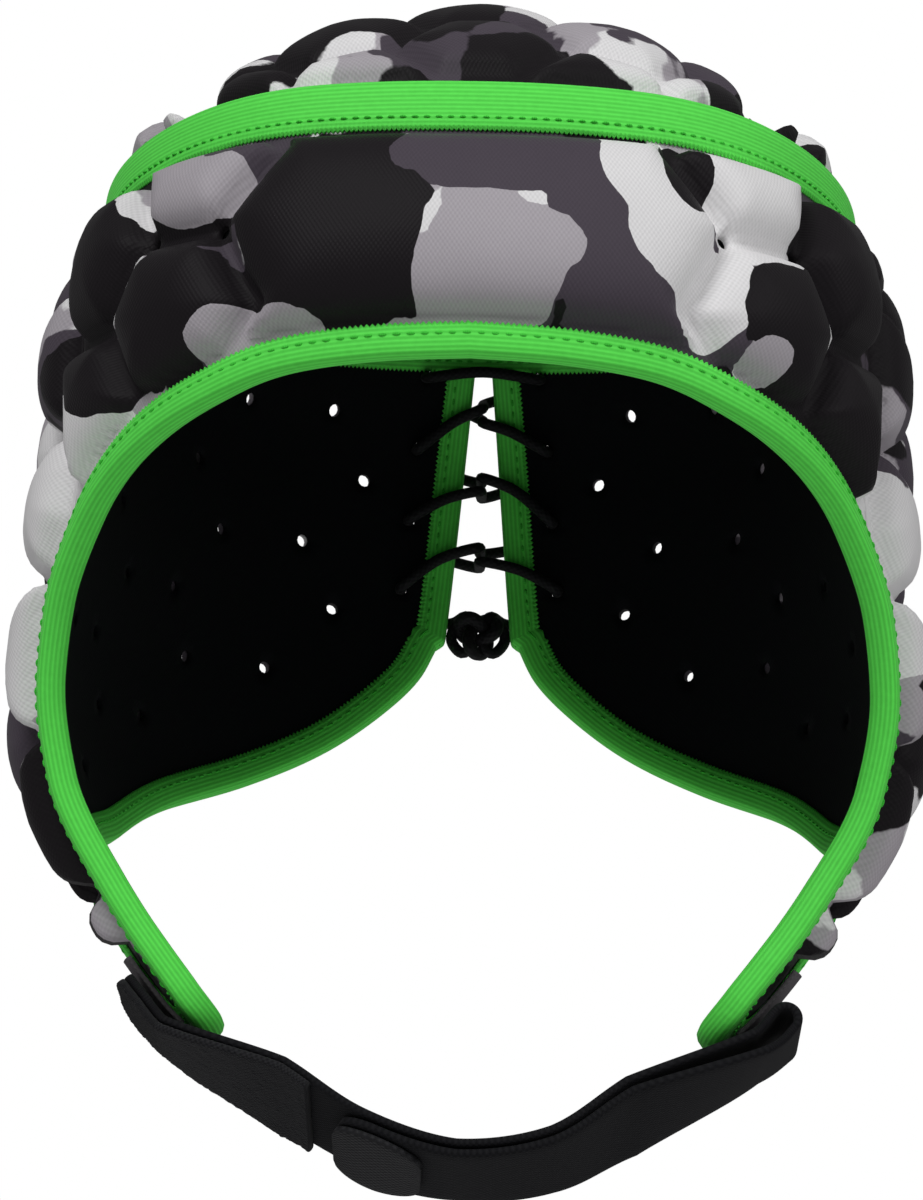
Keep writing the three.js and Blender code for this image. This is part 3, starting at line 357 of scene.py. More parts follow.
def ring_pad(column, row):
    index = abs(column)
    half = PAD_PITCH / 2 if index % 2 else 0
    v = -FIRST_PAD_DROP + half - row * PAD_PITCH
    lean = BACK_LEAN * float(smooth(4, 8, index))
    return (np.sign(column) * (PAD_COLUMNS[index] * HALF_GIRTH + lean * (v + FIRST_PAD_DROP)), v)


def crown_pad(column, row):
    half = CROWN_PITCH / 2 if column % 2 else 0
    return (column * CROWN_PITCH * math.sqrt(3) / 2, row * CROWN_PITCH + half)


def hexagon(pad, column, row, lowers):
    """The corners between a pad and its six neighbours."""
    odd = abs(column) % 2 == 1
    up = -1 if lowers else 1

    def shift(sign):
        if odd:
            return up if sign > 0 else 0
        return 0 if sign > 0 else -up

    around = np.array([
        pad(column + 1, row + shift(1)), pad(column, row + up), pad(column - 1, row + shift(1)),
        pad(column - 1, row + shift(-1)), pad(column, row - up), pad(column + 1, row + shift(-1)),
    ])
    centre = np.array(pad(column, row))
    return (centre + around + np.roll(around, -1, 0)) / 3


# The middle columns of the ring are one joined forehead pad
RING_CELLS = [
    ("forehead" if abs(c) <= 1 else (c, r), hexagon(ring_pad, c, r, True))
    for c in range(-9, 10) for r in range(-2, 6)
]
CROWN_CELLS = [
    ((c, r), hexagon(crown_pad, c, r, False)) for c in range(-5, 6) for r in range(-5, 6)
]


def corner_key(p):
    return (round(float(p[0]), 2), round(float(p[1]), 2))


class Pads:
    """Which pad a point lies in, and how far it is from that pad's channel."""

    def __init__(self, cells, runs):
        self.cells = cells
        self.runs = runs
        shared = {}
        for name, loop in cells:
            for a, b in zip(loop, np.roll(loop, -1, 0)):
                side = frozenset((corner_key(a), corner_key(b)))
                shared.setdefault(side, []).append((name, np.array([a, b])))
        self.sides = {}
        for found in shared.values():
            # a side between two cells of one pad is no channel
            if len(found) == 2 and found[0][0] == found[1][0]:
                continue
            for name, side in found:
                self.sides.setdefault(name, []).append(side)

    def margin(self, points):
        return np.min([distance_to(points, run) - width for run, width in self.runs], axis=0)

    def measure(self, points):
        owner = np.full(len(points), -1)
        depth = np.zeros(len(points))
        names = []
        for name, loop in self.cells:
            mask = inside(points, loop) & (owner < 0)
            if not mask.any():
                continue
            if name not in names:
                names.append(name)
            owner[mask] = names.index(name)
            depth[mask] = np.min([distance_to(points[mask], side) for side in self.sides[name]], axis=0)
        return owner, depth, names


def pad_lift(pads, points, flat, bands, rise):
    """How far the pads stand up; flat names a bare pad, and below bands there are none."""
    owner, depth, names = pads.measure(points)
    depth = np.minimum(depth, pads.margin(points))
    if bands is not None:
        above = points[:, 1] > -bands
        depth = np.where(above, np.minimum(depth, points[:, 1] + bands), 0)
    depth = np.maximum(depth, 0)
    lift = np.zeros(len(points))
    for i, name in enumerate(names):
        mask = owner == i
        deepest = depth[mask].max()
        if deepest < LEAST_PAD_REACH or name == flat:
            continue
        reach = min(SHOULDER, deepest)
        share = np.clip((depth[mask] - CHANNEL) / (reach - CHANNEL), 0, 1)
        dome = PAD_DOME * smooth(SHOULDER * 0.6, PAD_PITCH / 2, depth[mask])
        lift[mask] = rise * (reach / SHOULDER) ** 0.5 * (1 - (1 - share) ** 2.2) ** 0.6 + dome
    return lift


def vents_of(pads, outline):
    """Corners where three pads meet, well inside the panel."""
    meets = {}
    place = {}
    for name, loop in pads.cells:
        for p in loop:
            meets.setdefault(corner_key(p), set()).add(name)
            place[corner_key(p)] = p
    points = np.array([place[k] for k, names in meets.items() if len(names) == 3])
    keep = inside(points, outline)
    keep[keep] &= pads.margin(points[keep]) > VENT_MARGIN
    return points[keep]


def flat_mesh(outline, holes, spacing):
    """Triangles over a flat outline with round holes, on an even lattice of points."""
    low = outline.min(0)
    high = outline.max(0)
    rows = np.arange(low[1], high[1], spacing * math.sqrt(3) / 2)
    points = []
    for i, y in enumerate(rows):
        x = np.arange(low[0] + (i % 2) * spacing / 2, high[0], spacing)
        points.append(np.stack([x, np.full(len(x), y)], -1))
    points = np.concatenate(points)
    points = points[inside(points, outline)]
    closed = np.concatenate([outline, outline[:1]])
    points = points[distance_to(points, closed) > spacing * 0.55]
    loops = [outline]
    for x, y, radius, count in holes:
        angle = np.linspace(0, 2 * math.pi, count, endpoint=False)
        loops.append(np.stack([x + radius * np.cos(angle), y + radius * np.sin(angle)], -1))
        points = points[np.hypot(points[:, 0] - x, points[:, 1] - y) > radius + spacing * 0.5]
    edges = []
    start = 0
    for loop in loops:
        count = len(loop)
        edges += [(start + i, start + (i + 1) % count) for i in range(count)]
        start += count
    places = np.concatenate([*loops, points])
    out = delaunay_2d_cdt([Vector(p) for p in places], edges, [], 0, 1e-5)
    verts = np.array([(p.x, p.y) for p in out[0]])
    faces = np.array([f for f in out[2] if len(f) == 3])
    centre = verts[faces].mean(1)
    keep = inside(centre, outline)
    for x, y, radius, _ in holes:
        keep &= np.hypot(centre[:, 0] - x, centre[:, 1] - y) > radius * 0.97
    return verts, faces[keep]


def make_object(name, verts, faces, uv, material, stands_for=None, fields=None):
    mesh = bpy.data.meshes.new(name)
    mesh.from_pydata((np.asarray(verts) * MM).tolist(), [], [list(map(int, f)) for f in faces])
    layer = mesh.uv_layers.new(name="cloth")
    index = np.empty(len(mesh.loops), np.int32)
    mesh.loops.foreach_get("vertex_index", index)
    layer.data.foreach_set("uv", np.asarray(uv, np.float32)[index].ravel())
    for field, values in (fields or {}).items():
        attribute = mesh.attributes.new(field, "FLOAT", "POINT")
        attribute.data.foreach_set("value", np.asarray(values, np.float32))
    mesh.polygons.foreach_set("use_smooth", [True] * len(mesh.polygons))
    mesh.validate()
    mesh.update()
    obj = bpy.data.objects.new(name, mesh)
    scene.collection.objects.link(obj)
    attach(obj, "root")
    if stands_for:
        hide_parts(stands_for)
    mesh.materials.append(material)
    return obj


def border_of(faces):
    """Directed border sides of a set of triangles."""
    seen = set()
    for a, b, c in faces:
        seen.update(((a, b), (b, c), (c, a)))
    return [(a, b) for a, b in seen if (b, a) not in seen]


def shell(sheet, verts, faces, high, low):
    """One face of cloth with walls at its border, which go down or up to a second level."""
    top = lifted(sheet, verts[:, 0], verts[:, 1], high)
    border = border_of(faces.tolist())
    ring = sorted({i for side in border for i in side})
    base = lifted(sheet, verts[ring, 0], verts[ring, 1], low)
    place = {old: len(top) + i for i, old in enumerate(ring)}
    walls = [(b, a, place[a], place[b]) for a, b in border]
    return np.concatenate([top, base]), faces.tolist() + walls, ring


# Camouflage: noise over the whole cap, and patches in front, each laid over the ones before it.
# Rows: tone, place around and height in mm, then its reach both ways
CAMO_PATCHES = [
    # forehead and the pads at its left
    ("black", -26, -62, 18, 20), ("black", -62, -58, 14, 5), ("light", -60, -51, 13, 6),
    ("black", -88, -62, 14, 14), ("black", -58, -73, 14, 11), ("light", -46, -82, 8, 7),
    ("light", -36, -80, 8, 5),
    # left cheek, from the top down
    ("black", -104, -80, 12, 10), ("white", -86, -98, 13, 12), ("black", -78, -84, 12, 8),
    ("white", -112, -106, 20, 16), ("white", -102, -130, 16, 13), ("light", -102, -146, 14, 8),
    ("dark", -100, -160, 14, 8), ("light", -98, -171, 13, 7), ("light", -102, -186, 14, 8),
    # middle of the forehead, then the light band and the pads at its right
    ("dark", 6, -48, 20, 9), ("dark", 22, -62, 9, 18), ("dark", 31, -73, 11, 10),
    ("light", 4, -69, 15, 13), ("white", 32, -50, 7, 10), ("white", 37, -60, 9, 10),
    ("white", 45, -70, 8, 10), ("white", 60, -51, 15, 13), ("black", 43, -48, 6, 8),
    ("black", 62, -74, 11, 11), ("light", 57, -82, 5, 5), ("black", 86, -62, 16, 15),
    ("black", 84, -86, 15, 10),
    # right cheek, from the top down
    ("white", 108, -118, 18, 22), ("white", 88, -156, 14, 9), ("dark", 94, -168, 14, 6),
    ("white", 96, -183, 14, 9),
]

# What each tone sets in the black, dark and white fields
CAMO_TONES = {
    "black": (0.6, 0.0, 0.0), "dark": (-0.6, 0.6, 0.0), "light": (-0.6, -0.6, -0.6),
    "white": (-0.6, -0.6, 0.6),
}


CAMO_SIZE = 30.0
EDGE_SIZE = 12.0
EDGE_WOBBLE = 0.3
PATCH_REACH = 1.15
PATCH_BLUR = 0.3


def cloud(points, size, seed):
    out = np.empty(len(points))
    shift = Vector((seed * 7.3, seed * 3.1, seed * 5.7))
    for i, p in enumerate(points):
        at = Vector(p) / size + shift
        out[i] = noise.noise(at) + 0.4 * noise.noise(at * 2.3) + 0.12 * noise.noise(at * 6.1)
    return out


def camouflage(points, verts=None):
    """The black, dark and white fields at some points; the patches are laid only where verts is given."""
    fields = {}
    for name, seed, level in (("black", 1.0, 0.1), ("dark", 2.0, 0.04), ("white", 3.0, 0.02)):
        fields[name] = cloud(points, CAMO_SIZE, seed) - level
    if verts is not None:
        wobble = EDGE_WOBBLE * cloud(points, EDGE_SIZE, 5.0)
        for tone, u, v, ru, rv in CAMO_PATCHES:
            far = np.hypot((verts[:, 0] - u) / ru, (verts[:, 1] - v) / rv) + wobble
            weight = np.clip((PATCH_REACH - far) / PATCH_BLUR, 0, 1)
            for name, value in zip(fields, CAMO_TONES[tone]):
                fields[name] = fields[name] * (1 - weight) + value * weight
    return {"camo_" + name: values for name, values in fields.items()}


def ripple(points, amount, size):
    shift = Vector((3.0, 9.0, 1.0))
    return amount * np.array([noise.noise(Vector(p) / size + shift) for p in points])


# Materials
def node(tree, kind, **values):
    n = tree.nodes.new(kind)
    for name, value in values.items():
        if name in n.inputs:
            n.inputs[name].default_value = value
        else:
            setattr(n, name, value)
    return n


def math_node(tree, operation, a, b=None, clamp=False):
    n = tree.nodes.new("ShaderNodeMath")
    n.operation = operation
    n.use_clamp = clamp
    for i, value in enumerate((a, b)):
        if value is None:
            continue
        if isinstance(value, (int, float)):
            n.inputs[i].default_value = value
        else:
            tree.links.new(value, n.inputs[i])
    return n.outputs[0]


def plus(tree, a, b):
    return math_node(tree, "ADD", a, b)


def times(tree, a, b, clamp=False):
    return math_node(tree, "MULTIPLY", a, b, clamp)


def mix_colors(tree, factor, a, b):
    n = tree.nodes.new("ShaderNodeMix")
    n.data_type = "RGBA"
    for socket, value in ((n.inputs[0], factor), (n.inputs[6], a), (n.inputs[7], b)):
        if isinstance(value, tuple):
            socket.default_value = (*value, 1)
        elif isinstance(value, (int, float)):
            socket.default_value = value
        else:
            tree.links.new(value, socket)
    return n.outputs[2]


def new_material(name, roughness, sheen):
    material = bpy.data.materials.new(name)
    material.use_nodes = True
    tree = material.node_tree
    shader = tree.nodes["Principled BSDF"]
    shader.inputs["Roughness"].default_value = roughness
    shader.inputs["Specular IOR Level"].default_value = 0.1
    shader.inputs["Sheen Weight"].default_value = sheen
    shader.inputs["Sheen Roughness"].default_value = 0.5
    return material, tree, shader


def weave(tree, across, along):
    """Waves over the cloth's own map, in mm: 0 in the grooves, 1 on the threads."""
    uv = node(tree, "ShaderNodeUVMap", uv_map="cloth")
    split = tree.nodes.new("ShaderNodeSeparateXYZ")
    tree.links.new(uv.outputs[0], split.inputs[0])
    u, v = split.outputs[0], split.outputs[1]
    waves = []
    if across:
        waves.append(math_node(tree, "SINE", times(tree, u, 2 * math.pi / across)))
    if along:
        waves.append(math_node(tree, "SINE", times(tree, v, 2 * math.pi / along)))
    total = waves[0] if len(waves) == 1 else times(tree, waves[0], waves[1])
    return plus(tree, times(tree, total, 0.5), 0.5)


def add_bump(tree, shader, height, depth, strength=0.6):
    bump = node(tree, "ShaderNodeBump", Distance=depth * MM, Strength=strength)
    tree.links.new(height, bump.inputs["Height"])
    tree.links.new(bump.outputs[0], shader.inputs["Normal"])


def fine_noise(tree, scale, detail=3.0):
    coords = tree.nodes.new("ShaderNodeTexCoord")
    n = node(tree, "ShaderNodeTexNoise", Scale=scale, Detail=detail)
    tree.links.new(coords.outputs["Object"], n.inputs["Vector"])
    return n.outputs["Fac"]


def camo_material():
    material, tree, shader = new_material("camo_cloth", 0.55, 0.03)

    def mask(name):
        value = node(tree, "ShaderNodeAttribute", attribute_name="camo_" + name).outputs["Fac"]
        wobble = times(tree, plus(tree, fine_noise(tree, 420.0), -0.5), 0.05)
        edge = plus(tree, value, wobble)
        return times(tree, plus(tree, edge, 0.012), 40.0, clamp=True)

    color = mix_colors(tree, mask("white"), (0.44, 0.41, 0.445), (0.83, 0.82, 0.83))
    color = mix_colors(tree, mask("dark"), color, (0.075, 0.062, 0.08))
    color = mix_colors(tree, mask("black"), color, (0.0105, 0.0085, 0.0105))
    knit = weave(tree, 0.85, 1.1)
    cloudy = fine_noise(tree, 60.0)
    # Painted shade: the colour is darker in the knit's grooves and lighter on its threads, then a random
    # cloudy tone is laid over it
    knit_shade_and_tone = plus(tree, times(tree, knit, 0.16), 0.86)
    patchy = plus(tree, times(tree, cloudy, 0.12), 0.94)
    knit_shade_and_tone = times(tree, knit_shade_and_tone, patchy)
    scaled = tree.nodes.new("ShaderNodeVectorMath")
    scaled.operation = "SCALE"
    tree.links.new(color, scaled.inputs[0])
    tree.links.new(knit_shade_and_tone, scaled.inputs["Scale"])
    tree.links.new(scaled.outputs[0], shader.inputs["Base Color"])
    add_bump(tree, shader, knit, 0.12, 0.5)
    return material


def plain_cloth(name, low, high, roughness, across, along, depth, sheen=0.03, grain=700.0):
    material, tree, shader = new_material(name, roughness, sheen)
    threads = weave(tree, across, along)
    grainy = fine_noise(tree, grain)
    height = plus(tree, times(tree, threads, 0.75), times(tree, grainy, 0.5))
    # Painted shade: the colour runs from the dark one in the grooves to the light one on the thread tops,
    # mixed with random grain tone
    color = mix_colors(tree, times(tree, height, 0.85, clamp=True), low, high)
    tree.links.new(color, shader.inputs["Base Color"])
    add_bump(tree, shader, height, depth)
    return material


CAMO = camo_material()
# Each cloth: its dark colour, painted shade for the grooves, and its light colour for the thread tops, then
# roughness, thread pitch both ways, depth, sheen and grain
LINING = plain_cloth("lining_knit", (0.0025, 0.003, 0.0035), (0.006, 0.007, 0.0085),
                     0.85, 1.1, 1.1, 0.1, 0.01)
GREEN = plain_cloth("binding_tape", (0.08, 0.62, 0.065), (0.14, 0.94, 0.115), 0.6, None, 1.0, 0.12, 0.03)
GREEN_THREAD = plain_cloth("binding_thread", (0.03, 0.42, 0.025), (0.08, 0.7, 0.07), 0.6, 0.4, None, 0.05)
BLACK_CORD = plain_cloth("lace_braid", (0.004, 0.004, 0.005), (0.02, 0.02, 0.022), 0.6, 1.6, 1.3, 0.3, 0.03)
GREY_TAPE = plain_cloth("grey_tape", (0.05, 0.045, 0.05), (0.13, 0.12, 0.13), 0.8, 1.0, 1.0, 0.15)
STRAP = plain_cloth("strap_web", (0.003, 0.003, 0.004), (0.013, 0.013, 0.015), 0.8, 1.1, 0.9, 0.2, 0.02)
PILE = plain_cloth("strap_pile", (0.003, 0.003, 0.004), (0.03, 0.03, 0.033),
                   0.95, 0.7, 0.6, 0.5, 0.06, 1500.0)
HOOKS = plain_cloth("strap_hooks", (0.007, 0.007, 0.008), (0.026, 0.026, 0.029), 0.6, 1.3, 1.3, 0.5, 0.02)
SEAM_THREAD = plain_cloth("seam_thread", (0.004, 0.004, 0.005), (0.02, 0.019, 0.021), 0.7, 0.5, None, 0.05)


# Panels and linings
PANEL_SPACING = 1.45
LINING_SPACING = 2.6
VENT_DIP = 3.2
VENT_SIDES = 12
LACE_HOLE_SIDES = 14
EAR_HOLE_SIDES = 32


def hand_piece(hand, name, verts, faces, uv, material, stands_for, fields=None):
    """A piece as it is made for the left, or its mirror image for the right."""
    if hand < 0:
        verts = np.array(verts) * (-1, 1, 1)
        faces = [tuple(reversed(f)) for f in faces]
    return make_object(name, verts, faces, uv, material, stands_for, fields)


def build_panel(names, linings, sheet, runs, cells, low, holes=(), flat=None, bands=None,
                patches=True, rise=PAD_RISE, kept_bare=()):
    """A panel and its lining, and their mirror images where second names are given."""
    outline = loop_of(runs)
    pads = Pads(cells, [*runs, *kept_bare])
    vents = vents_of(pads, outline) if linings else []
    cuts = [(x, y, VENT_RADIUS, VENT_SIDES) for x, y in vents] + list(holes)
    verts, faces = flat_mesh(outline, cuts, PANEL_SPACING)
    lift = pad_lift(pads, verts, flat, bands, rise)
    for x, y in vents:
        lift *= 1 - np.exp(-(np.hypot(verts[:, 0] - x, verts[:, 1] - y) / VENT_DIP) ** 4)
    foot = sheet(verts[:, 0], verts[:, 1])
    level = CLOTH_LEVEL + lift * (1 + ripple(foot, 0.05, 14.0))
    places, solid, ring = shell(sheet, verts, faces, level, low)
    uv = np.concatenate([verts, verts[ring]])
    foot = np.concatenate([foot, foot[ring]])
    for hand, name in zip((1, -1), names):
        fields = camouflage(foot * (hand, 1, 1), uv * (hand, 1) if patches else None)
        piece = hand_piece(hand, name + "_cloth", places, solid, uv, CAMO, name, fields)
    verts, faces = flat_mesh(outline, cuts, LINING_SPACING)
    faces = faces[:, ::-1]
    if linings:
        skin, faces, ring = shell(sheet, verts, faces, 0.0, LINING_WALL)
        verts = np.concatenate([verts, verts[ring]])
    else:
        skin = lifted(sheet, verts[:, 0], verts[:, 1], 0.0)
    for hand, name in zip((1, -1), linings or names):
        shown = name + ("_knit" if linings else "_inside")
        hand_piece(hand, shown, skin, faces, verts, LINING, name if linings else None)


RING_LOW = LINING_WALL + LAYER_GAP
build_panel(["front_panel"], ["front_lining"], ring_sheet, FRONT_RUNS, RING_CELLS, RING_LOW)
lace_rows = [-share * WEAR_DEPTH for share in (0.205, 0.272, 0.341, 0.408)]
lace_holes = [(lace_edge(v)[0] - LACE_INSET, v, LACE_HOLE_RADIUS, LACE_HOLE_SIDES) for v in lace_rows]
ear_hole = (EAR_REACH, -EAR_DROP, EAR_HOLE_RADIUS, EAR_HOLE_SIDES)
ear_cell = min(
    (name for name, _ in RING_CELLS if name != "forehead" and name[0] > 0),
    key=lambda name: math.dist(ring_pad(*name), ear_hole[:2]),
)
build_panel(["side_panel_left", "side_panel_right"], ["side_lining_left", "side_lining_right"],
            ring_sheet, SIDE_RUNS, RING_CELLS, RING_LOW, lace_holes + [ear_hole], ear_cell,
            BARE_TAB_DROP)


def crown_outline():
    """The crown's edge, a little past the ring's top, seen from above."""
    turn = np.linspace(0, 2 * math.pi, 361)[:-1]
    folded = np.minimum(turn, 2 * math.pi - turn)
    z = ring_top(np.interp(folded, TURNS, GIRTH))
    side = hollow(turn, -CROWN_DROP)
    radius = np.hypot(side[:, 0], side[:, 1])
    bend = np.sqrt((radius**2 + CROWN_DROP**2) / 2)
    reach = np.arccos(1 + z / CROWN_DROP) * bend - CROWN_START + CROWN_TUCK
    loop = np.stack([reach * side[:, 0] / radius, -reach * side[:, 1] / radius], -1)
    area = np.sum(loop[:, 0] * np.roll(loop[:, 1], -1) - loop[:, 1] * np.roll(loop[:, 0], -1))
    return loop if area > 0 else loop[::-1]


crown_loop = crown_outline()


def crown_runs(low, high):
    """The crown's outline between two seams, which run front to back."""
    kept = []
    for a, b in zip(crown_loop, np.roll(crown_loop, -1, 0)):
        if low < a[0] < high:
            kept.append(a)
        for edge in (low, high):
            if (a[0] - edge) * (b[0] - edge) < 0:
                kept.append(a + (b - a) * (edge - a[0]) / (b[0] - a[0]))
    closed = [kept[0]]
    for p in kept[1:] + kept[:1]:
        gap = math.dist(closed[-1], p)
        count = max(1, round(gap / EDGE_STEP))
        closed += [closed[-1] + (p - closed[-1]) * i / count for i in range(1, count + 1)]
    return [(np.array(closed), SEAM_MARGIN)]


# The crown goes on behind the ring's top, which leaves no gap there, and that strip has no pads
tucked = [(np.concatenate([crown_loop, crown_loop[:1]]), SEAM_MARGIN + CROWN_TUCK)]
PAST_CROWN = 400.0
middle_runs = crown_runs(-CROWN_SEAM, CROWN_SEAM)
build_panel(["crown_panel"], None, crown_sheet, middle_runs, CROWN_CELLS, 0.0, patches=False,
            rise=CROWN_RISE, kept_bare=tucked)
build_panel(["crown_side_left", "crown_side_right"], None, crown_sheet,
            crown_runs(CROWN_SEAM + LAYER_GAP, PAST_CROWN), CROWN_CELLS, 0.0, patches=False,
            rise=CROWN_SIDE_RISE, kept_bare=tucked)


# Binding tapes
TEETH_PITCH = 1.05
TEETH_REACH = 0.3
STITCH_PITCH = 2.7
STITCH_LENGTH = 1.7
STITCH_INSET = 2.2
TOP_STITCH_INSET = 2.4
STITCH_RADIUS = 0.26
STITCH_SINK = 0.2
TAPE_STEP = TEETH_PITCH / 4
OUTER_LIFT = CLOTH_LEVEL + TAPE_GAP + TAPE_WALL
INNER_LIFT = -TAPE_GAP - TAPE_WALL


def tape_frames(line, closed, side):
    """Unit directions from an edge line into the cloth."""
    if closed:
        before = np.roll(line, 1, 0)
        after = np.roll(line, -1, 0)
    else:
        before = np.concatenate([line[:1], line[:-1]])
        after = np.concatenate([line[1:], line[-1:]])
    run = after - before
    if closed:
        run[:, 0] -= np.round(run[:, 0] / (2 * HALF_GIRTH)) * 2 * HALF_GIRTH
    run /= np.linalg.norm(run, axis=1, keepdims=True)
    for _ in range(6):
        run[1:-1] = (run[:-2] + run[1:-1] * 2 + run[2:]) / 4
    run /= np.linalg.norm(run, axis=1, keepdims=True)
    return np.stack([-run[:, 1] * side, run[:, 0] * side], -1)


def tape(name, line, width, closed, side, hand=1):
    """A toothed tape folded over an edge; it gives back its line and the ways into the cloth."""
    line = even(line, TAPE_STEP)
    if closed:
        line = line[:-1]
    inward = tape_frames(line, closed, side)
    far = np.arange(len(line)) * TAPE_STEP
    tooth = TEETH_REACH * (np.abs((far / TEETH_PITCH) % 1 - 0.5) * 4 - 1)
    outer, inner = OUTER_LIFT, INNER_LIFT
    mid = (outer + inner) / 2
    # Each point: its reach into the cloth, its lift, and 1 where the teeth move it
    section = [
        (width, CLOTH_LEVEL + 0.12, 1), (width, CLOTH_LEVEL + 0.62, 1), (width - 0.9, outer - 0.35, 0),
        (width * 0.62, outer - 0.1, 0), (width * 0.3, outer, 0), (0.2, outer - 0.05, 0),
    ]
    for angle in (60, 30, 0, -30, -60):
        a = math.radians(angle)
        section.append((-NOSE_REACH * math.cos(a) + 0.15, mid + (outer - mid - 0.1) * math.sin(a), 0))
    section += [
        (0.2, inner + 0.05, 0), (width * 0.3, inner, 0), (width * 0.62, inner + 0.1, 0),
        (width - 0.9, inner + 0.35, 0), (width, -0.62, 1), (width, -0.12, 1),
    ]
    count = len(section)
    reach, lift, toothed = np.array(section).T
    reaches = reach[None] + toothed[None] * tooth[:, None]
    u = line[:, :1] + inward[:, :1] * reaches
    v = line[:, 1:] + inward[:, 1:] * reaches
    wave = 0.08 * np.sin(far / 9.0)[:, None]
    waved = lift[None] + wave * (lift[None] > mid)
    places = lifted(ring_sheet, u.ravel(), v.ravel(), waved.ravel())
    across = np.concatenate([[0], np.cumsum(np.hypot(np.diff(reach), np.diff(lift)))])
    uv = np.stack([np.repeat(far, count), np.tile(across, len(line))], -1)
    spans = len(line) if closed else len(line) - 1
    faces = []
    for k in range(spans):
        here = k * count
        there = ((k + 1) % len(line)) * count
        for i in range(count - 1):
            faces.append((here + i, here + i + 1, there + i + 1, there + i))
    if side < 0:
        faces = [tuple(reversed(f)) for f in faces]
    hand_piece(hand, name + "_tape", places, faces, uv, GREEN, name)
    return line, inward


def round_faces(rings, count, base=0):
    """Faces along rings of points, and one at each end."""
    faces = []
    for r in range(rings - 1):
        for k in range(count):
            a = base + r * count + k
            b = base + r * count + (k + 1) % count
            faces.append((a, b, b + count, a + count))
    last = base + (rings - 1) * count
    faces.append(tuple(base + k for k in reversed(range(count))))
    faces.append(tuple(last + k for k in range(count)))
    return faces


STITCH_SIDES = 6
# Shares of a stitch's length and radius, from one end to the other
STITCH_RINGS = [(0.0, 0.35), (0.2, 0.95), (0.5, 1.05), (0.8, 0.95), (1.0, 0.35)]


def capsule_rows(name, rows, radius, material):
    """Small stitches: each row is a start, an end and an outward direction."""
    verts = []
    faces = []
    uv = []
    for start, end, out in rows:
        along = end - start
        length = np.linalg.norm(along)
        along /= length
        side = np.cross(out, along)
        faces += round_faces(len(STITCH_RINGS), STITCH_SIDES, len(verts))
        for share, fat in STITCH_RINGS:
            bow = math.sin(math.pi * share) * radius * 0.8
            for k in range(STITCH_SIDES):
                a = 2 * math.pi * k / STITCH_SIDES
                p = start + along * length * share + side * math.cos(a) * radius * fat
                p = p + out * (math.sin(a) * radius * fat + bow)
                verts.append(p)
                uv.append((share * length, k / STITCH_SIDES))
    make_object(name, verts, faces, uv, material)


def stitch_rows(line, inward, reach):
    """Stitches along a tape, first on its outer side and then on its inner side."""
    rows = []
    steps = max(1, round(STITCH_LENGTH / TAPE_STEP))
    stride = max(1, round(STITCH_PITCH / TAPE_STEP))
    u = line[:, 0] + inward[:, 0] * reach
    v = line[:, 1] + inward[:, 1] * reach
    for lift, side in ((OUTER_LIFT - STITCH_SINK, 1), (INNER_LIFT + STITCH_SINK, -1)):
        on = lifted(ring_sheet, u, v, lift)
        below = lifted(ring_sheet, u, v, lift - 1.0)
        out = (on - below) * side
        rows += [(on[i], on[i + steps], out[i]) for i in range(stride, len(line) - steps - 1, stride)]
    return rows


JOINT_REACH = 2.5
tab_last = np.array(placed(TAB_END)[-1])
rear_first = np.array(placed(REAR_EDGE)[0])
to_rear = rear_first - tab_last
joint = tab_last + to_rear * JOINT_REACH / np.linalg.norm(to_rear)
half_face = np.concatenate([face_line, [joint]])
whole_face = np.concatenate([mirror_line(half_face)[:-1], half_face])
whole_top = top_line(-HALF_GIRTH, HALF_GIRTH)
# The nape tape starts just past the joint and goes up the lace's edge, under the top tape
lace_end = lace_edge(LACE_TOP - TOP_TAPE_WIDTH + 0.5)
half_rear = np.concatenate([
    [joint + (rear_first - joint) * 0.08], rear_line, even([lace_edge(LACE_LOW), lace_end], EDGE_STEP)[1:],
])
stitches = stitch_rows(*tape("face_binding", whole_face, TAPE_WIDTH, False, 1), TAPE_WIDTH - STITCH_INSET)
stitches += stitch_rows(*tape("top_binding", whole_top, TOP_TAPE_WIDTH, True, -1),
                        TOP_TAPE_WIDTH - TOP_STITCH_INSET)
for hand, word in HANDS:
    nape = tape(f"nape_binding_{word}", half_rear, TAPE_WIDTH, False, 1, hand)
rear_rows = stitch_rows(*nape, TAPE_WIDTH - STITCH_INSET)
flip = np.array((-1, 1, 1))
stitches += rear_rows + [(b * flip, a * flip, o * flip) for a, b, o in rear_rows]
capsule_rows("binding_stitches", stitches, STITCH_RADIUS, GREEN_THREAD)


# Cords
def tube(name, points, radius, sides, material, stands_for=None):
    points = np.asarray(points, float)
    tangents = np.gradient(points, axis=0)
    tangents /= np.linalg.norm(tangents, axis=1, keepdims=True)
    normal = np.cross(tangents[0], (0.3, 0.2, 0.9))
    verts = []
    uv = []
    far = far_along(points)
    for i, (p, t) in enumerate(zip(points, tangents)):
        normal = normal - t * np.dot(normal, t)
        normal /= np.linalg.norm(normal)
        other_way = np.cross(t, normal)
        for k in range(sides):
            a = 2 * math.pi * k / sides
            verts.append(p + radius * (math.cos(a) * normal + math.sin(a) * other_way))
            uv.append((far[i], radius * a))
    faces = round_faces(len(points), sides)
    make_object(name, verts, faces, uv, material, stands_for)


INSIDE_LIFT = INNER_LIFT - LACE_DIAMETER / 2 - LAYER_GAP
OUTSIDE_LIFT = OUTER_LIFT + LACE_DIAMETER / 2 + LAYER_GAP


def ring_point(u, v, lift):
    return lifted(ring_sheet, [u], [v], lift)[0]


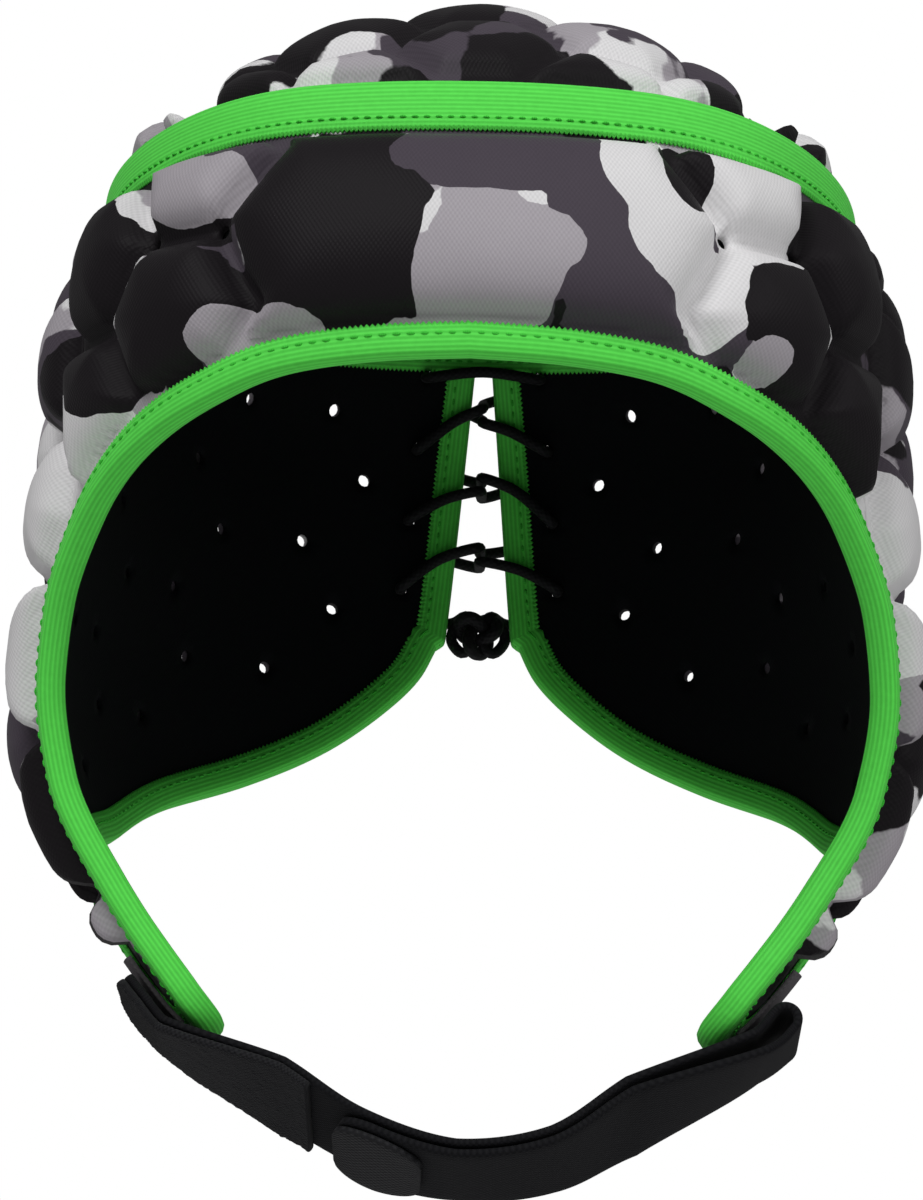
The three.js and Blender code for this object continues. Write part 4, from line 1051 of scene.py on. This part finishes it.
def lace_half(start):
    """The lace's points from one upper hole down to the last row, and the side it ends on."""
    points = []
    side = start

    def put(hand, v, reach, lift):
        points.append(ring_point(hand * (HALF_GIRTH - reach), v, lift))

    for i, v in enumerate(lace_rows):
        hole = HALF_GIRTH - (lace_edge(v)[0] - LACE_INSET)
        put(side, v, hole, INSIDE_LIFT * 0.9)
        put(side, v, hole, CLOTH_LEVEL / 2)
        put(side, v, hole, OUTSIDE_LIFT * 0.95)
        if i + 1 < len(lace_rows):
            down = lace_rows[i + 1]
            crossing = v + (down - v) * 0.5 + start * LACE_DIAMETER * 0.62
            near = lace_gap(crossing) + LACE_DIAMETER + 1.5
            put(side, v + (crossing - v) * 0.7, near, OUTSIDE_LIFT + 0.2)
            put(side, crossing, 0.4, OUTSIDE_LIFT)
            put(side, crossing, 0.02, (OUTSIDE_LIFT + INSIDE_LIFT) / 2)
            side = -side
            put(side, crossing, 0.4, INSIDE_LIFT)
            put(side, crossing + (down - crossing) * 0.3, near, INSIDE_LIFT - 0.2)
    return points, side


KNOT_SIZE = 13.0
knot_drop = LACE_LOW + 3.5
knot_centre = ring_point(HALF_GIRTH - 0.01, knot_drop, CLOTH_LEVEL / 2)


def lace_tail(side):
    v = lace_rows[-1]
    reach = lace_gap(v) + 4
    return [
        ring_point(side * (HALF_GIRTH - reach - 2), v - 6, OUTSIDE_LIFT),
        ring_point(side * (HALF_GIRTH - KNOT_SIZE * 0.45), (v + knot_drop) / 2 - 1, OUTSIDE_LIFT),
        knot_centre + np.array([side * KNOT_SIZE * 0.2, 0.4, KNOT_SIZE * 0.3]),
        knot_centre + np.array([side * 0.6, 0.0, 0.5]),
    ]


one, one_side = lace_half(1)
two, two_side = lace_half(-1)
lace_route = lace_tail(two_side)[::-1] + two[::-1]
lace_route += [ring_point(HALF_GIRTH - 0.02, lace_rows[0] + 1.5, INSIDE_LIFT - 0.5)]
lace_route += one + lace_tail(one_side)
tube("back_lace_cord", curve_line(lace_route, 0.8), LACE_DIAMETER / 2, 10, BLACK_CORD, "back_lace")
# The knot is one closed loop that crosses itself three times
KNOT_SPREAD = 1.62
KNOT_THICKNESS = 1.9
knot = []
for a in np.linspace(0, 2 * math.pi, 241):
    x = math.sin(a) + 2 * math.sin(2 * a)
    z = math.cos(a) - 2 * math.cos(2 * a)
    y = -math.sin(3 * a)
    knot.append(knot_centre + np.array([x * KNOT_SPREAD, y * KNOT_THICKNESS, z * KNOT_SPREAD]))
tube("lace_knot_cord", knot, LACE_DIAMETER / 2 + 0.25, 10, BLACK_CORD, "lace_knot")
# The knot's small loops: places from its centre, in mm
BOW = [(2.0, 0.5, 1.0), (5.0, 1.6, 2.2), (6.2, 1.0, -1.5), (3.4, -0.6, -4.8), (0.6, -0.4, -2.0)]
for hand, word in HANDS[::-1]:
    loop = [knot_centre + np.array([hand * x, y, z]) for x, y, z in BOW]
    tube(f"lace_knot_bow_{word}", curve_line(loop, 0.6), LACE_DIAMETER / 2, 8, BLACK_CORD)

# Overlock stitches along the crown seams
OVERLOCK_STEP = 0.45
OVERLOCK_REACH = 1.7
OVERLOCK_RADIUS = 0.3
OVERLOCK_INSET = 2.0
OVERLOCK_LIFT = CLOTH_LEVEL + 0.35
middle_loop = middle_runs[0][0]
for hand, word in HANDS[::-1]:
    along = middle_loop[np.abs(middle_loop[:, 0] - hand * CROWN_SEAM) < 0.05][:, 1]
    y = np.arange(along.min() + OVERLOCK_INSET, along.max() - OVERLOCK_INSET, OVERLOCK_STEP)
    offset = np.where((np.arange(len(y)) // 2) % 2 == 0, OVERLOCK_REACH, -OVERLOCK_REACH)
    x = hand * (CROWN_SEAM + LAYER_GAP / 2 + offset)
    places = lifted(crown_sheet, x, y, OVERLOCK_LIFT)
    tube(f"crown_seam_{word}_thread", places, OVERLOCK_RADIUS, 6, SEAM_THREAD)

# Tab tapes, chin strap, pile and hook end
# The middle line of a tab, in shares like the outlines
TAB_AXIS = placed([(0.408, 0.797), (0.402, 0.815), (0.395, 0.833), (0.388, 0.85)])
TAB_TAPE_WIDTH = 14.0
TAB_TAPE_WALL = 1.0
TAB_TAPE_LIFT = CLOTH_LEVEL + TAPE_GAP + TAPE_WALL + LAYER_GAP
STRAP_WIDTH = 25.0
STRAP_WALL = 1.8
STRAP_FOLD = 5.2
PATCH_WALL = 1.4
STRAP_LIFT = TAB_TAPE_LIFT + TAB_TAPE_WALL + 1.5 + STRAP_WALL / 2
# The strap between the tabs: shares of half the breadth, of the front and of the depth, then its
# tilt in degrees
STRAP_FREE = [
    (-0.43, 0.32, 0.922, 30), (-0.23, 0.37, 0.96, 24), (0.0, 0.385, 0.98, 19),
    (0.23, 0.375, 0.97, 22), (0.42, 0.33, 0.932, 30),
]


def ribbon(name, stations, section, uv_along, material, stands_for=None, turned=False):
    """A band along stations; each maps a section point to space."""
    verts = []
    uv = []
    for station, far in zip(stations, uv_along):
        for across, thick in section:
            verts.append(station(across, thick))
            uv.append((far, across))
    faces = round_faces(len(stations), len(section))
    if not turned:
        faces = [tuple(reversed(f)) for f in faces]
    make_object(name, verts, faces, uv, material, stands_for)


def rounded_band(width, wall, steps=10):
    half = width / 2
    edge = wall * 0.5
    top = [(-half + edge + (width - 2 * edge) * i / steps, wall / 2) for i in range(steps + 1)]
    right = [(half - edge + edge * math.sin(a), wall / 2 * math.cos(a)) for a in (0.6, 1.1, 1.57, 2.04, 2.54)]
    bottom = [(-x, -y) for x, y in top]
    left = [(-x, -y) for x, y in right]
    return top + right + bottom + left


def on_tab(side, row):
    """A place on the strap's route over a tab, with its edge and outward directions."""
    u, v = TAB_AXIS[row]
    centre = ring_point(side * u, v, STRAP_LIFT)
    normal = centre - ring_point(side * u, v, 0)
    normal /= np.linalg.norm(normal)
    a, b = (
        ring_point(side * TAB_AXIS[k][0], TAB_AXIS[k][1], STRAP_LIFT)
        for k in (max(0, row - 1), min(len(TAB_AXIS) - 1, row + 1))
    )
    edge = np.cross(normal, (b - a) / np.linalg.norm(b - a))
    return centre, (-edge if edge[1] > 0 else edge), normal


stops = [on_tab(-1, 1), on_tab(-1, 2), on_tab(-1, 3)]
for out, fore, down, rise in STRAP_FREE:
    a = math.radians(rise)
    stops.append((
        np.array([out * HEAD_BREADTH / 2, -fore * HEAD_FRONT, -down * WEAR_DEPTH]),
        np.array([0, -math.cos(a), math.sin(a)]), np.array([0, -math.sin(a), -math.cos(a)]),
    ))
stops += [on_tab(1, 3), on_tab(1, 2)]
stop_places = [s[0] for s in stops]


def strap_frame(t):
    centre = catmull(stop_places, t)
    tangent = catmull(stop_places, t + 1e-3) - catmull(stop_places, t - 1e-3)
    tangent /= np.linalg.norm(tangent)
    k = min(max(t, 0), 1) * (len(stops) - 1)
    low = min(len(stops) - 2, int(k))
    w = k - low
    edge = stops[low][1] * (1 - w) + stops[low + 1][1] * w
    outward = stops[low][2] * (1 - w) + stops[low + 1][2] * w
    edge = edge - tangent * np.dot(edge, tangent)
    edge /= np.linalg.norm(edge)
    normal = np.cross(edge, tangent)
    normal /= np.linalg.norm(normal)
    if np.dot(normal, outward) < 0:
        normal = -normal
    return centre, tangent, edge, normal


def over_strap(t, raised, share):
    centre, _, edge, normal = strap_frame(t)
    return lambda across, thick: centre + edge * across * share + normal * (raised + thick)


def end_share(far, radius=7.0):
    """A rounded end: the width's share at a distance from the end."""
    if far >= radius:
        return 1.0
    t = 1 - far / radius
    return 1 - 0.55 * (1 - math.sqrt(max(0, 1 - t * t)))


LENGTH_STEPS = 200
strap_length = far_along([catmull(stop_places, i / LENGTH_STEPS) for i in range(LENGTH_STEPS + 1)])[-1]
# Where the part that comes back ends, and how long its hooks are, as shares of the strap's length
RETURN_END = 0.42
GRIP_LENGTH = 0.1


def lift_of_return(t):
    free = STRAP_WALL + 0.5
    return free + (STRAP_FOLD - free) * float(smooth(0.72, 0.98, t))


STRAP_STEPS = 180
FOLD_STEPS = 16
RETURN_STEPS = 120
stations = []
fars = []
for i in range(STRAP_STEPS + 1):
    t = i / STRAP_STEPS
    stations.append(over_strap(t, 0, end_share(t * strap_length)))
    fars.append(t * strap_length)
fold_centre, fold_tangent, fold_edge, fold_normal = strap_frame(1)
for i in range(1, FOLD_STEPS):
    a = math.pi * i / FOLD_STEPS
    raised = STRAP_FOLD / 2 * (1 - math.cos(a))
    reach = STRAP_FOLD / 2 * math.sin(a)
    stations.append(
        lambda across, thick, a=a, raised=raised, reach=reach: fold_centre + fold_edge * across
        + fold_normal * (raised + thick * math.cos(a)) + fold_tangent * (reach - thick * math.sin(a))
    )
    fars.append(strap_length + a * STRAP_FOLD / 2)
for i in range(RETURN_STEPS + 1):
    t = 1 - (1 - RETURN_END) * i / RETURN_STEPS
    station = over_strap(t, lift_of_return(t), end_share((t - RETURN_END) * strap_length))
    stations.append(lambda across, thick, station=station: station(across, -thick))
    fars.append(strap_length * (2 - t) + 8)
ribbon("chin_strap_web", stations, rounded_band(STRAP_WIDTH, STRAP_WALL), fars, STRAP, "chin_strap")

PATCH_SPANS = 9
STRAP_SPANS = 24
PATCH_END = PATCH_SPANS / STRAP_SPANS
PATCH_RAISE = STRAP_WALL / 2 + LAYER_GAP + PATCH_WALL / 2
pile_band = rounded_band(STRAP_WIDTH + 1, PATCH_WALL + 0.3, 40)
PILE_STEPS = 220
pile_stations = []
pile_fars = []
for i in range(PILE_STEPS + 1):
    t = PATCH_END * i / PILE_STEPS
    far = t * strap_length
    station = over_strap(t, PATCH_RAISE, end_share(far))

    def fuzzy(across, thick, station=station, far=far):
        rough = noise.noise(Vector((far * 0.9, across * 0.9, thick * 2)))
        fine = noise.noise(Vector((far * 2.9, across * 2.9, 5.0 + thick * 2)))
        push = 0.28 * rough + 0.3 * fine
        spread = 1 + 0.02 * push
        return station(across * spread, thick * (1 + 0.4 * push) + 0.25 * push)

    pile_stations.append(fuzzy)
    pile_fars.append(far)
ribbon("strap_patch_pile", pile_stations, pile_band, pile_fars, PILE, "strap_patch")

GRIP_STEPS = 40
grip_stations = []
grip_fars = []
for i in range(GRIP_STEPS + 1):
    t = RETURN_END + GRIP_LENGTH * i / GRIP_STEPS
    near = min(i, GRIP_STEPS - i) / GRIP_STEPS * GRIP_LENGTH * strap_length
    grip_stations.append(over_strap(t, lift_of_return(t) + PATCH_RAISE, end_share(near, 8.0)))
    grip_fars.append(t * strap_length)
ribbon("strap_grip_hooks", grip_stations, rounded_band(STRAP_WIDTH - 1, PATCH_WALL), grip_fars,
       HOOKS, "strap_grip")

TAB_STEP = 0.8
TAB_MIDDLE = TAB_TAPE_LIFT + TAB_TAPE_WALL / 2
tab_line = curve_line(TAB_AXIS, TAB_STEP)
tab_fars = [i * TAB_STEP for i in range(len(tab_line))]
tab_band = rounded_band(TAB_TAPE_WIDTH, TAB_TAPE_WALL, 12)
for hand, word in HANDS:
    tab_stations = [
        lambda across, thick, u=u, v=v: ring_point(hand * (u + across), v, TAB_MIDDLE + thick)
        for u, v in tab_line
    ]
    ribbon(f"tab_tape_{word}_web", tab_stations, tab_band, tab_fars, GREY_TAPE,
           f"tab_tape_{word}", hand < 0)


# Floor, light and camera
def seen_apart(tree, lit, seen, output):
    """The camera sees one shader, and the light comes from the other."""
    paths = tree.nodes.new("ShaderNodeLightPath")
    choice = tree.nodes.new("ShaderNodeMixShader")
    tree.links.new(paths.outputs["Is Camera Ray"], choice.inputs[0])
    tree.links.new(lit.outputs[0], choice.inputs[1])
    tree.links.new(seen.outputs[0], choice.inputs[2])
    tree.links.new(choice.outputs[0], tree.nodes[output].inputs[0])


FLOOR_DROP = 0.75
FLOOR_SHADE = 0.93
WORLD_LIGHT = 0.18
bpy.ops.mesh.primitive_plane_add(size=12, location=(0, 2.0, -FLOOR_DROP))
floor = bpy.context.object
floor.name = "floor"
floor_material, floor_tree, floor_shader = new_material("floor_paper", 0.9, 0.0)
floor_shader.inputs["Base Color"].default_value = (0.95, 0.95, 0.95, 1)
glow = node(floor_tree, "ShaderNodeEmission", Color=(*[FLOOR_SHADE] * 3, 1), Strength=1.0)
seen_apart(floor_tree, floor_shader, glow, "Material Output")
floor.data.materials.append(floor_material)

world = bpy.data.worlds.new("studio")
scene.world = world
world.use_nodes = True
tree = world.node_tree
lit = tree.nodes["Background"]
lit.inputs[0].default_value = (1, 1, 1, 1)
lit.inputs[1].default_value = WORLD_LIGHT
seen = node(tree, "ShaderNodeBackground", Color=(1, 1, 1, 1), Strength=1.0)
seen_apart(tree, lit, seen, "World Output")


def area_light(name, place, target, size, power):
    data = bpy.data.lights.new(name, "AREA")
    data.size = size
    data.energy = power
    light = bpy.data.objects.new(name, data)
    scene.collection.objects.link(light)
    light.location = place
    light.rotation_euler = (Vector(target) - Vector(place)).to_track_quat("-Z", "Y").to_euler()


area_light("key", (-0.5, -1.1, 1.0), (0, 0, -0.1), 0.8, 14)
area_light("fill", (1.1, -0.8, 0.6), (0, 0, -0.1), 0.9, 7)

# Camera: the sensor in mm, then the focal length and the side shift in the photo's pixels
SENSOR = 36
LONG_SIDE_PIXELS = 1200
FOCAL_PIXELS = 5181
SIDE_SHIFT_PIXELS = -10.5
TARGET_DROP = 0.117
ELEVATION = math.radians(-9.0)
AZIMUTH = math.radians(0.9)
ROLL = math.radians(1.3)
DISTANCE = 1.1
back = Vector((
    math.sin(AZIMUTH) * math.cos(ELEVATION), -math.cos(AZIMUTH) * math.cos(ELEVATION), math.sin(ELEVATION),
))
camera_data = bpy.data.cameras.new("camera")
camera = bpy.data.objects.new("camera", camera_data)
scene.collection.objects.link(camera)
right = (-back).cross(Vector((0, 0, 1))).normalized()
up = right.cross(-back)
turned_right = right * math.cos(ROLL) + up * math.sin(ROLL)
turned_up = -right * math.sin(ROLL) + up * math.cos(ROLL)
rotation = Matrix((turned_right, turned_up, back)).transposed().to_4x4()
camera.matrix_world = Matrix.Translation(Vector((0, 0, -TARGET_DROP)) + back * DISTANCE) @ rotation
camera_data.sensor_width = SENSOR
camera_data.lens = SENSOR * FOCAL_PIXELS / LONG_SIDE_PIXELS
camera_data.shift_x = SIDE_SHIFT_PIXELS / LONG_SIDE_PIXELS
camera_data.clip_start = 0.05
camera_data.clip_end = 50
scene.camera = camera

scene.render.engine = "CYCLES"
scene.cycles.samples = 64
scene.view_settings.view_transform = "Standard"
scene.render.film_transparent = False
